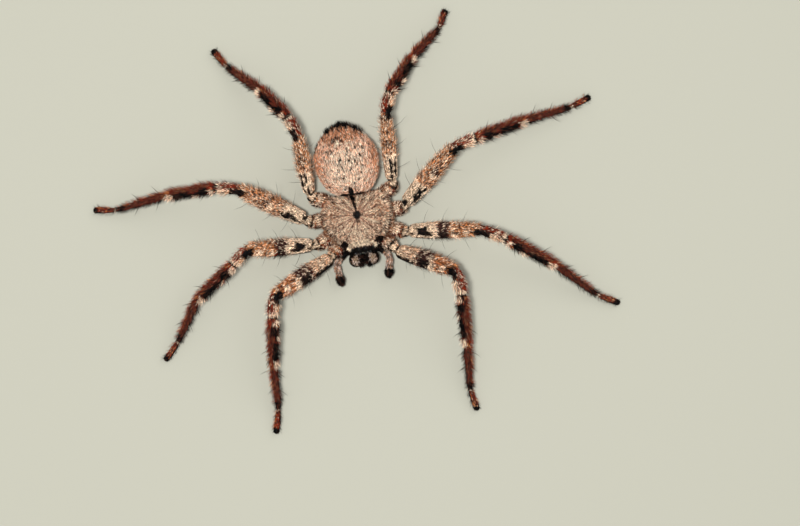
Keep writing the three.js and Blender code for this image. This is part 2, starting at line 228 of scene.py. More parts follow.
def round_end(distance: Array, radius: float, spare: float = 0.02) -> Array:
    """Part of full girth near a rounded end: a quarter circle over the given distance.

    Args:
        distance: distance of each row from the end.
        radius: the quarter circle's radius.
        spare: how far the end row lies inside the circle, so that it isn't a point.

    Returns:
        Part of full girth by row, up to 1.
    """
    return np.sqrt(np.clip(1 - (1 - np.clip((distance + spare) / radius, 0, 1)) ** 2, 0, 1))


def fovea_place() -> Array:
    """The fovea on the ground: midway across the carapace, and behind its front as far as it says."""
    low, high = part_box("carapace")
    return np.array([(low.x + high.x) / 2 / MM, low.y / MM - Carapace.front, 0.0])


# Meshes


def place_in_scene(name: str, data: bpy.types.ID) -> bpy.types.Object:
    """Makes an object and links it to the scene.

    Args:
        name: the object's name.
        data: its mesh, camera or light.

    Returns:
        The new object.
    """
    made = bpy.data.objects.new(name, data)
    bpy.context.scene.collection.objects.link(made)
    return made


def make_mesh(
    name: str,
    points: Array,
    faces: list[Array],
    marks: Array,
    extra: dict[str, Array],
    finish: bpy.types.Material,
) -> bpy.types.Object:
    """Puts whole arrays into a mesh object, smooth-shaded, in metres in the frame.

    Args:
        name: the object's name.
        points: places of the vertices, in millimetres from the fovea.
        faces: vertex numbers, in arrays whose last axis runs over a face's corners.
        marks: strength of each Tone by vertex.
        extra: further values by vertex, three numbers each.
        finish: the material.

    Returns:
        The new object, linked to the scene.
    """
    mesh = bpy.data.meshes.new(name)
    mesh.vertices.add(len(points))
    mesh.vertices.foreach_set("co", ((points + fovea_place()) * MM).astype(np.float32).ravel())
    corners = np.concatenate([part.ravel() for part in faces])
    sizes = np.concatenate([np.full(part.size // part.shape[-1], part.shape[-1]) for part in faces])
    mesh.loops.add(len(corners))
    mesh.loops.foreach_set("vertex_index", corners.astype(np.int32))
    mesh.polygons.add(len(sizes))
    mesh.polygons.foreach_set("loop_start", (np.cumsum(sizes) - sizes).astype(np.int32))
    mesh.polygons.foreach_set("use_smooth", np.ones(len(sizes), bool))
    for key, values in {"marks_a": marks[:, :3], "marks_b": marks[:, 3:], **extra}.items():
        layer = mesh.attributes.new(key, "FLOAT_VECTOR", "POINT")
        layer.data.foreach_set("vector", values.astype(np.float32).ravel())
    mesh.update(calc_edges=True)
    mesh.materials.append(finish)
    return place_in_scene(name, mesh)


@dataclass
class Patch:
    """A closed surface as a grid, drawn together to a pole at its first and last row.

    Attributes:
        points: places in millimetres, rows x columns x 3; the columns close on themselves.
        marks: strength of each Tone, rows x columns x 6.
        lie: coordinates that follow the coat, along and across it in millimetres.
        hair: length of the coat in millimetres, rows x columns; nought where none grows.
        flow: direction in which the coat lies; along the rows where it isn't given.
    """

    points: Array
    marks: Array
    lie: Array
    hair: Array
    flow: Array | None = None

    def slopes(self) -> tuple[Array, Array]:
        """Differences between neighbouring rows and between neighbouring columns."""
        across = (np.roll(self.points, -1, 1) - np.roll(self.points, 1, 1)) / 2
        return np.gradient(self.points, axis=0), across

    def normals(self) -> Array:
        """Outward normals: the slopes' cross product, turned away from the middle of its row.

        Returns:
            A unit vector for each place of the grid.
        """
        normal = unit(np.cross(*self.slopes()))
        outward = self.points - self.points.mean(1, keepdims=True)
        return normal if np.sum(normal * outward) > 0 else -normal

    def faces(self) -> tuple[Array, Array]:
        """Faces of the grid, facing out.

        Returns:
            Vertex numbers of all four-sided faces, and of the triangles at the two poles. The
            poles are numbered after the grid, first row first.
        """
        rows, columns = self.points.shape[:2]
        number = np.arange(rows * columns).reshape(rows, columns)
        beside = np.roll(number, -1, 1)
        quads = np.stack([number[:-1], number[1:], beside[1:], beside[:-1]], -1).reshape(-1, 4)
        first = np.full(columns, rows * columns)
        start = np.stack([first, number[0], beside[0]], -1)
        end = np.stack([first + 1, beside[-1], number[-1]], -1)
        if np.sum(np.cross(*self.slopes()) * self.normals()) < 0:
            quads, start, end = quads[:, ::-1], start[:, ::-1], end[:, ::-1]
        return quads, np.concatenate([start, end])

    def with_poles(self, values: Array) -> Array:
        """Values by vertex, with the means of the first and last row for the poles."""
        return np.concatenate([values.reshape(-1, values.shape[-1]), values[:1].mean(1), values[-1:].mean(1)])


def mesh_of_patches(name: str, patches: list[Patch], finish: bpy.types.Material) -> bpy.types.Object:
    """Joins patches into one object that carries their markings and the lie of the coat.

    Args:
        name: the object's name.
        patches: the surfaces.
        finish: the material.

    Returns:
        The new object.
    """
    points, marks, lie = (
        [patch.with_poles(getattr(patch, part)) for patch in patches] for part in ("points", "marks", "lie")
    )
    offsets = np.cumsum([0] + [len(part) for part in points])
    faces = [[part + offset for part in patch.faces()] for patch, offset in zip(patches, offsets)]
    kinds = [np.concatenate(kind) for kind in zip(*faces)]
    extra = {"lie": np.concatenate(lie)}
    return make_mesh(name, np.concatenate(points), kinds, np.concatenate(marks), extra, finish)


def tube(centres: Array, girth: Array, turns: Array, front: float = 1.0, squash: float = 1.0) -> Array:
    """Rings round a line.

    A ring lies square to the line's run t. Its sideways direction is t x up, its upper one is
    sideways x t, and the point at turn a is centre + girth (cos a upper + sin a sideways).

    Args:
        centres: places along the line, n x 3.
        girth: radius at each place.
        turns: angles round the line, from its top toward its front side.
        front: 1 where t x up points to the front, -1 where it points to the rear.
        squash: height as a part of the width.

    Returns:
        Points, n x turns x 3.
    """
    run = unit(np.gradient(centres, axis=0))
    side = unit(np.cross(run, UP))
    over = np.cross(side, run)
    ring = np.cos(turns)[None, :, None] * over[:, None] * squash
    ring = ring + front * np.sin(turns)[None, :, None] * side[:, None]
    return centres[:, None] + girth[:, None, None] * ring


def plain_marks(*shape: int, **strengths: float) -> Array:
    """Markings that are the same all over.

    Args:
        shape: shape of the grid.
        strengths: a strength for each Tone, by its name in small letters.

    Returns:
        Strength of each Tone at each place.
    """
    marks = np.zeros((*shape, len(Tone)))
    for name, strength in strengths.items():
        marks[..., Tone[name.upper()]] = strength
    return marks


def cord_patch(
    centres: Array,
    girth: Array,
    sides: int,
    marks: Array,
    hair: Array | float,
    group: float,
    squash: float = 1.0,
) -> Patch:
    """A closed tube with rounded ends as a patch.

    Args:
        centres: places along its line.
        girth: radius at each place.
        sides: corners of a ring.
        marks: strength of each Tone, by row.
        hair: length of the coat, by row or the same all over.
        group: a number that keeps the pattern of its coat apart from its neighbours'.
        squash: height as a part of the width.

    Returns:
        The grid.
    """
    turns = full_turn(sides, -math.pi)
    points = tube(centres, girth, turns, 1.0, squash)
    lie = grid(run_length(centres)[:, None], turns * girth[:, None], group)
    marks = np.repeat(marks[:, None], sides, 1)
    return Patch(points, marks, lie, grid(np.broadcast_to(hair, girth.shape)[:, None], turns)[..., 0])


def curve_through(points: list[Point], count: int) -> Array:
    """Points evenly spread over a smooth curve through a few places.

    Between two places the curve is the cubic whose slopes are half the chords of the places
    before and after them.

    Args:
        points: the places.
        count: number of points.

    Returns:
        The points, count x 3.
    """
    places = np.asarray(points, float)
    ends = np.concatenate([2 * places[:1] - places[1:2], places, 2 * places[-1:] - places[-2:-1]])
    t = np.linspace(0, len(places) - 1, count)
    k = np.minimum(t.astype(int), len(places) - 2)
    u = (t - k)[:, None]
    p0, p1, p2, p3 = ends[k], ends[k + 1], ends[k + 2], ends[k + 3]
    cubic = 3 * (p1 - p2) + p3 - p0
    square = 2 * p0 - 5 * p1 + 4 * p2 - p3
    return p1 + 0.5 * u * (p2 - p0 + u * (square + u * cubic))


# Markings


@dataclass(frozen=True)
class Mark:
    """A patch of colour on a leg, from start to stop as parts of a segment's length.

    Its middle lies at an angle round the leg, 0 on top and 90 on the front side, and it covers
    an angle to both sides of it.
    """

    tone: Tone
    start: float
    stop: float
    turn: float = 0.0
    spread: float = 400.0
    strength: float = 1.0
    edge: float = 0.5
    edge_turn: float = 24.0

    def at(self, along: Array, angle: Array, begin: float, length: float) -> Array:
        """Strength of the mark: one soft step at each end times one at its two sides.

        Args:
            along: places along the leg in millimetres.
            angle: angles round the leg in degrees.
            begin: where the segment begins, in millimetres.
            length: the segment's length.

        Returns:
            Strength at each place.
        """
        ends = ramp(along, begin + self.start * length, self.edge)
        ends = ends * ramp(along, begin + self.stop * length, -self.edge)
        apart = np.abs((angle - self.turn + 180) % 360 - 180)
        return self.strength * ends * ramp(apart, self.spread, -self.edge_turn)


@dataclass(frozen=True)
class Blot:
    """An oval patch of colour seen from above."""

    tone: Tone
    x: float
    y: float
    across: float
    along: float
    strength: float = 1.0
    edge: float = 0.35
    lean: float = 0.0

    def at(self, x: Array, y: Array) -> Array:
        """Strength of the blot: a soft step at distance 1 from its middle, in its own radii.

        Args:
            x: places across the body.
            y: places along the body.

        Returns:
            Strength at each place.
        """
        angle = math.radians(self.lean)
        right = (x - self.x) * math.cos(angle) + (y - self.y) * math.sin(angle)
        ahead = (y - self.y) * math.cos(angle) - (x - self.x) * math.sin(angle)
        distance = np.hypot(right / self.across, ahead / self.along)
        return self.strength * ramp(distance, 1, -self.edge / min(self.across, self.along))


def blotted(rows: Rows, x: Array, y: Array, seed: int, ragged: float = 0.16) -> Array:
    """Markings made of blots, each tone as strong as its strongest blot.

    Args:
        rows: the blots, each given by its fields in order.
        x: places across the body.
        y: places along the body.
        seed: picks the raggedness.
        ragged: how far the edges wander, in millimetres.

    Returns:
        Strength of each Tone.
    """
    marks = plain_marks(*x.shape)
    moved_x = x + ragged * ripple(x / 0.7, y / 0.7, seed)
    moved_y = y + ragged * ripple(x / 0.7, y / 0.7, seed + 1)
    for blot in (Blot(*row) for row in rows):
        strengthen(marks, blot.tone, blot.at(moved_x, moved_y))
    return marks


# Marks of a leg by segment, and those of the femur by pair of legs, each given as a Mark's fields
SHANK_MARKS: dict[Segment, Rows] = {
    Segment.COXA: (
        (ORANGE, -0.2, 1.0, 0, 400, 0.7), (DUSK, 0.36, 0.56, 0, 400, 0.75, 0.3),
        (CREAM, 0.68, 0.86, 0, 45, 0.7, 0.3), (RUST, 0.2, 1.0, 70, 60, 0.7),
        (SHADE, 0.2, 1.0, -75, 60, 0.7), (DUSK, 0.5, 1.0, 85, 30, 0.9, 0.3),
    ),
    Segment.TROCHANTER: (
        (BLACK, -0.22, 0.1, -10, 90, 0.9, 0.2), (BLACK, 0.2, 0.66, 66, 22, 1.0, 0.2, 10),
        (BLACK, 0.84, 1.2, -40, 60, 0.95, 0.2), (BLACK, 0.3, 1.3, 112, 26, 1.0, 0.3),
        (CREAM, 0.08, 0.82, 8, 36, 1.0, 0.2), (CREAM, 0.66, 1.15, 52, 42, 1.0, 0.2),
    ),
    Segment.PATELLA: (
        (ORANGE, -0.1, 1.05, -40, 400, 1.0), (RUST, -0.05, 1.05, -60, 84, 0.9), (BLACK, -0.25, 0.36, 70, 64),
        (CREAM, 0.34, 0.96, 62, 56, 0.55), (CREAM, 0.86, 0.96, 30, 110, 1.0, 0.2),
        (BLACK, 0.94, 1.05, 10, 130, 1.0, 0.12),
    ),
    Segment.TIBIA: (
        (RUST, 0.0, 1.1), (ORANGE, 0.0, 0.14, 62, 72, 1.0, 0.25), (CREAM, 0.03, 0.12, 62, 56, 0.75, 0.25),
        (BLACK, 0.13, 0.3, 60, 78), (BLACK, 0.28, 0.5, 42, 22, 0.85), (CREAM, 0.32, 0.46, 88, 30, 0.8),
        (SHADE, 0.12, 0.85, -15, 50, 0.7), (BLACK, 0.46, 0.82, 66, 66), (ORANGE, 0.8, 1.02, 50, 80, 1.0, 0.3),
        (CREAM, 0.83, 0.98, 52, 52, 0.75, 0.3),
    ),
    Segment.METATARSUS: (
        (RUST, -0.02, 1.1), (SHADE, 0.0, 1.1, 20, 70, 0.85), (BLACK, 0.03, 1.0, 98, 44, 0.9),
        (BLACK, 0.8, 1.0, 0, 400, 0.75), (CREAM, 0.962, 1.022, 20, 50, 1.0, 0.16),
    ),
    Segment.TARSUS: ((RUST, 0.0, 1.1), (BLACK, 0.0, 1.1, 92, 42, 0.9), (BLACK, 0.7, 1.3, 0, 400, 1.0, 0.4)),
}
THIGH_MARKS: dict[int, Rows] = {
    1: (
        (CREAM, 0.0, 0.34, 15, 60, 0.3), (BLACK, -0.02, 0.33, 84, 46), (RUST, 0.34, 0.6, 0, 400, 0.7),
        (DUSK, 0.36, 0.58, 25, 110, 0.95), (BLACK, 0.40, 0.56, 55, 55, 0.85),
        (CREAM, 0.57, 0.66, 45, 60, 0.75), (ORANGE, 0.52, 1.0, -10, 400, 0.85),
        (RUST, 0.64, 0.9, -10, 120, 0.3), (CREAM, 0.74, 0.82, 30, 30, 0.75), (BLACK, 0.88, 1.05, 62, 74),
    ),
    2: (
        (CREAM, 0.0, 0.4, 20, 100, 0.7), (CREAM, 0.0, 0.3, 52, 14, 1.0, 0.5, 10),
        (BLACK, 0.14, 0.28, 6, 26, 1.0, 0.4, 10), (BLACK, 0.19, 0.35, 32, 16, 1.0, 0.4, 10),
        (CREAM, 0.05, 0.14, 4, 26, 1.0, 0.3), (BLACK, 0.03, 0.1, 24, 12, 1.0, 0.3, 8),
        (DUSK, 0.06, 0.14, -30, 14, 0.9), (BLACK, -0.05, 0.5, 92, 24), (CREAM, 0.31, 0.42, 45, 60, 0.85),
        (RUST, 0.39, 0.58, 0, 400, 0.7), (DUSK, 0.41, 0.56, 20, 115, 0.9), (BLACK, 0.44, 0.55, 60, 50, 0.7),
        (ORANGE, 0.3, 1.0, -30, 400, 0.75), (CREAM, 0.6, 0.68, 55, 30, 0.7), (CREAM, 0.76, 0.84, 40, 34, 0.7),
        (BLACK, 0.9, 1.05, 60, 66),
    ),
    3: (
        (CREAM, 0.0, 0.36, 22, 80, 0.85), (CREAM, 0.0, 0.34, 62, 14, 1.0, 0.5, 10),
        (BLACK, 0.03, 0.36, 40, 12, 1.0, 0.4, 8), (BLACK, 0.16, 0.3, 14, 13, 1.0, 0.4, 8),
        (BLACK, -0.03, 0.07, -18, 16, 1.0, 0.3, 8), (DUSK, 0.05, 0.2, -44, 12, 0.8),
        (BLACK, -0.05, 0.25, 96, 20, 0.9), (ORANGE, 0.28, 1.0, 0, 400, 0.6), (CREAM, 0.5, 0.56, 25, 28, 0.8),
        (DUSK, 0.56, 0.64, 25, 45, 0.75), (BLACK, 0.91, 1.05, 60, 62),
    ),
    4: (
        (CREAM, 0.0, 0.4, 25, 60, 0.85), (BLACK, 0.0, 0.36, 4, 12, 1.0, 0.5, 8),
        (BLACK, 0.04, 0.36, 50, 12, 1.0, 0.5, 8), (ORANGE, 0.34, 1.0, 0, 400, 0.5),
        (DUSK, 0.53, 0.62, 15, 50, 0.6), (BLACK, 0.91, 1.05, 58, 60),
    ),
}


# Legs


@dataclass(frozen=True)
class LegPlan:
    """One leg as it is seen from above.

    The base of its femur, then for femur, patella, tibia, metatarsus and tarsus the heading in
    degrees, counter-clockwise from +X, and the reach in plan.
    """

    name: str
    hip: tuple[float, float]
    heading: tuple[float, ...]
    reach: tuple[float, ...]

    @property
    def side(self) -> int:
        """1 for a left leg and -1 for a right one."""
        return 1 if self.name[0] == "l" else -1

    @property
    def pair(self) -> int:
        """Number of the pair of legs, from the front."""
        return int(self.name[1])


LEG_PLANS = (
    LegPlan("r1", (-5.85, -6.8), (-155, -103, -98.5, -93, -104.5), (12.1, 3.8, 9.0, 7.5, 4.8)),
    LegPlan("r2", (-8.8, -4.0), (175.5, -140.5, -145, -123.5, -134), (11.7, 3.3, 9.6, 8.0, 4.4)),
    LegPlan("r3", (-9.35, 0.7), (146.5, 167.5, 179, -173, 171), (12.9, 3.9, 9.5, 9.3, 4.3)),
    LegPlan("r4", (-7.8, 5.1), (92, 110.5, 126, 136, 120.5), (10.4, 3.7, 7.5, 7.2, 4.2)),
    LegPlan("l1", (6.1, -7.35), (-27.5, -87, -92.5, -95, -79.5), (11.1, 4.4, 9.2, 7.9, 4.3)),
    LegPlan("l2", (8.7, -4.2), (-8, -29, -36.5, -44.5, -29), (12.8, 4.6, 10.4, 9.2, 4.5)),
    LegPlan("l3", (8.9, 0.7), (40.5, 13.5, 11.5, 7.5, 19.5), (13.1, 4.0, 9.8, 8.6, 4.2)),
    LegPlan("l4", (7.1, 5.3), (86.5, 71, 49.5, 38.5, 62.5), (11.7, 3.6, 8.0, 7.1, 3.8)),
)


@dataclass
class Leg:
    """A leg's skin: one tube from inside the body to the claw tuft, drawn in at its joints.

    Places of the coxa and its knob and the femur's half-width are given by pair of legs. Girth,
    depth and length of the coat and density of the long hair are tables by place, counted in
    segments from the body; the femur's girth is a part of its half-width. A dip is given by its
    joint, depth and width, and a row of spines by segment, parts of its length and turns.
    """

    plan: LegPlan
    step: float = 0.22
    sides: int = 28
    bend: float = 1.5
    coxa_foot: Rows = ((2.4, -3.5), (3.05, -1.6), (3.05, 0.35), (2.4, 2.3))
    knob: Rows = ((5.3, -6.1), (7.6, -4.2), (8.3, -0.05), (7.2, 4.0))
    heights: tuple[float, ...] = (2.9, 3.5, 3.65, 8.0, 8.2, 4.3, 1.2, 0.62)
    femur_half: tuple[float, ...] = (1.65, 1.6, 1.7, 1.4)
    root_girth: Rows = ((0.0, 0.78), (0.3, 0.98), (0.62, 1.22), (0.84, 1.3), (1.0, 1.3), (1.95, 1.05))
    femur_girth: Rows = (
        (2.0, 0.8), (2.06, 0.88), (2.15, 0.95), (2.3, 1.0), (2.45, 1.0), (2.62, 0.97), (2.82, 0.86),
        (2.98, 0.72),
    )
    shank_girth: Rows = (
        (3.02, 0.98), (3.2, 1.1), (3.7, 1.14), (4.0, 1.04), (4.14, 1.1), (4.5, 1.06), (4.75, 0.98),
        (4.9, 1.03), (5.0, 0.84), (5.12, 0.86), (5.5, 0.76), (5.88, 0.67), (6.0, 0.58), (6.3, 0.57),
        (6.6, 0.6), (6.93, 0.6), (7.0, 0.52),
    )
    coat: Rows = ((3.7, 0.2), (4.3, 0.27), (6.0, 0.27), (6.4, 0.12))
    hair: Rows = (
        (0, 0.36), (1, 0.28), (2.2, 0.3), (2.4, 0.48), (3, 0.48), (5, 0.52), (6, 0.48), (6.5, 0.36),
        (7, 0.42),
    )
    long_hair: Rows = (
        (2.1, 0), (2.4, 0.8), (3.9, 0.8), (4.2, 2.4), (6.0, 2.4), (6.3, 1.2), (6.8, 1.2), (6.9, 0),
    )
    coxa_hair: Rows = ((0.3, 0), (0.5, 1), (0.95, 1), (1.2, 0))
    dips: Rows = (
        (1, 0.10, 0.3), (2, 0.26, 0.35), (3, 0.10, 0.3), (4, 0.12, 0.22), (5, 0.26, 0.3), (6, 0.2, 0.3),
    )
    dip_hair: float = 0.5
    sole: float = 0.02
    tarsus_height: float = 0.85
    spine_rows: Rows = (
        (Segment.FEMUR, (0.2, 0.48, 0.76), (-68.0, 66.0)),
        (Segment.FEMUR, (0.34, 0.62), (8.0,)),
        (Segment.TIBIA, (0.22, 0.68), (-66.0, 66.0)),
        (Segment.METATARSUS, (0.1, 0.5), (-62.0, 62.0)),
    )
    spine_stray: tuple[float, float] = (0.3, 7.0)
    spine_length: float = 3.4
    shank_spine: float = 0.6
    spine_width: float = 0.19
    spine_lift: float = 60.0

    def joints(self) -> Array:
        """The leg's line in space: headings and reaches added up in plan, over given heights.

        Returns:
            Places of coxa, knob, hip, knee, shin, ankle, heel and toe.
        """
        plan, pair = self.plan, self.plan.pair - 1
        angles = np.radians(plan.heading)
        steps = np.stack([np.cos(angles), np.sin(angles)], 1) * np.array(plan.reach)[:, None]
        inner = [(plan.side * x, y) for x, y in (self.coxa_foot[pair], self.knob[pair])]
        outer = np.array(plan.hip) + np.cumsum(steps, axis=0)
        return np.column_stack([np.concatenate([inner, [plan.hip], outer]), self.heights])

    def line(self) -> tuple[Array, Array, Array, Array]:
        """The bent line with its corners rounded.

        Places stand at even steps along the joints' straight runs, and a running mean over the
        bend's length, taken twice, rounds the corners.

        Returns:
            Distance along the leg, place as segment number and part of it, centres, and where
            each joint lies along the leg.
        """
        joints = self.joints()
        marks = run_length(joints)
        along = np.linspace(0, marks[-1], int(marks[-1] / self.step))
        width = int(self.bend / self.step / 2) * 2 + 1
        centres = smoothed(smoothed(line_at(along, marks, joints), width), width)
        return along, np.interp(along, marks, np.arange(len(marks))), centres, marks

    def girth(self, along: Array, place: Array, marks: Array) -> Array:
        """Radius of the skin: the outline's table less the coat, drawn in at the joints by bell
        curves and rounded at both ends.

        Args:
            along: distance of each row along the leg.
            place: the same, counted in segments.
            marks: where each joint lies along the leg.

        Returns:
            Radius by row.
        """
        half = self.femur_half[self.plan.pair - 1]
        table = (*self.root_girth, *((at, part * half) for at, part in self.femur_girth), *self.shank_girth)
        radius = smoothed(read_table(place, table), 5) - read_table(place, self.coat)
        for joint, depth, width in self.dips:
            radius *= 1 - depth * bell(along - marks[joint], width)
        return radius * round_end(marks[-1] - along, 0.45) * round_end(along, 0.8)

    def paint(self, along: Array, turns: Array, marks: Array) -> Array:
        """Markings on the grid: the marks of the shank and of this pair's thigh, at places that
        a ripple has shifted along and round the leg, then specks on the thigh and streaks on the
        shank.

        Args:
            along: distance of each row along the leg.
            turns: angle of each column.
            marks: where each joint lies along the leg.

        Returns:
            Strength of each Tone.
        """
        pair = self.plan.pair
        seed = 10 * pair + self.plan.side
        rows, columns = np.meshgrid(along, np.degrees(turns), indexing="ij")
        moved = rows + 0.22 * ripple(rows / 0.9, columns / 50, seed)
        turned = columns + 11 * ripple(rows / 1.2, columns / 60, seed + 300)
        painted = plain_marks(*rows.shape)
        for segment, table in (*SHANK_MARKS.items(), (Segment.FEMUR, THIGH_MARKS[pair])):
            begin, end = marks[segment : segment + 2]
            for mark in (Mark(*row) for row in table):
                strengthen(painted, mark.tone, mark.at(moved, turned, begin, end - begin))
        around = np.radians(columns) * self.femur_half[pair - 1]
        hip, knee = marks[Segment.FEMUR], marks[Segment.PATELLA]
        thigh = ramp(rows, marks[Segment.TIBIA], -0.6)
        outer = ramp(rows, hip + 0.3 * (knee - hip), 2)
        streaks = speckle(rows / 2.5, around, 0.55, 0.27, seed + 800) * (1 - thigh)
        dark = speckle(rows, around, 0.56, 0.3, seed + 600) * thigh * (0.62 + 0.36 * outer)
        pale = speckle(rows, around, 0.56, 0.32, seed + 700) * thigh * (0.9 - 0.2 * outer)
        deep = speckle(rows / 2, around, 0.55, 0.27, seed + 900) * (0.8 * (1 - thigh))
        for tone, strength in ((DUSK, dark), (CREAM, pale), (ORANGE, 0.9 * streaks), (DUSK, deep)):
            strengthen(painted, tone, strength)
        painted[..., RUST] *= 1 - 0.8 * streaks
        return painted

    def patch(self) -> Patch:
        """The leg's skin: its tube, flattened along the tarsus and by the floor.

        Returns:
            The grid.
        """
        along, place, centres, marks = self.line()
        radius = self.girth(along, place, marks)
        turns = full_turn(self.sides, -math.pi)
        points = tube(centres, radius, turns, self.plan.side)
        level = centres[:, None, 2]
        flat = np.interp(place, [5.9, 6.2], [1, self.tarsus_height])[:, None]
        points[..., 2] = np.maximum(level + (points[..., 2] - level) * flat, self.sole)
        lie = grid(along[:, None], turns * radius[:, None], 3.0 * self.plan.pair + self.plan.side)
        length = read_table(place, self.hair)
        for joint, _, width in self.dips[1:]:
            length *= 1 - self.dip_hair * bell(along - marks[joint], width)
        return Patch(points, self.paint(along, turns, marks), lie, np.repeat(length[:, None], self.sides, 1))

    def density(self, table: Rows, least: float = 1.0, more: float = 0.0) -> Array:
        """Where long hair grows: by a table along the leg, and more of it at the leg's sides.

        Args:
            table: density by place.
            least: its part on top and below.
            more: what is added at the sides.

        Returns:
            Density on the grid.
        """
        turns = full_turn(self.sides, -math.pi)
        return read_table(self.line()[1], table)[:, None] * (least + more * np.sin(turns) ** 2)

    def spines(self, patch: Patch, seed: int) -> "Strands":
        """Erect black spines, one at each place and turn of the rows.

        Args:
            patch: the leg's skin.
            seed: picks how they stray.

        Returns:
            The spines, as tufts.
        """
        draw = np.random.default_rng(seed)
        along, _, _, marks = self.line()
        spots = [
            (marks[segment] + part * (marks[segment + 1] - marks[segment]), turn)
            for segment, parts, turns in self.spine_rows
            for part in parts
            for turn in turns
        ]
        count = len(spots)
        distance, turn = (np.array(spots) + draw.normal(0, self.spine_stray, (count, 2))).T
        row = np.clip(np.searchsorted(along, distance), 1, len(along) - 2)
        column = np.round((turn + 180) / 360 * self.sides).astype(int) % self.sides
        normal = patch.normals()[row, column]
        reach = np.where(distance < marks[Segment.PATELLA], 1.0, self.shank_spine)
        return Strands(
            root=patch.points[row, column],
            normal=normal,
            flow=level_with(unit(patch.slopes()[0][row, column]), normal),
            length=self.spine_length * reach * draw.uniform(0.8, 1.15, count),
            width=np.full(count, self.spine_width),
            lift=np.radians(self.spine_lift + draw.normal(0, 6, count)),
            droop=np.zeros(count),
            marks=plain_marks(count, black=1.0),
            tone=np.full((count, 2), 0.5),
            place=0.01 + 0.98 * np.column_stack([row / len(along), column / self.sides]),
        )


# Body


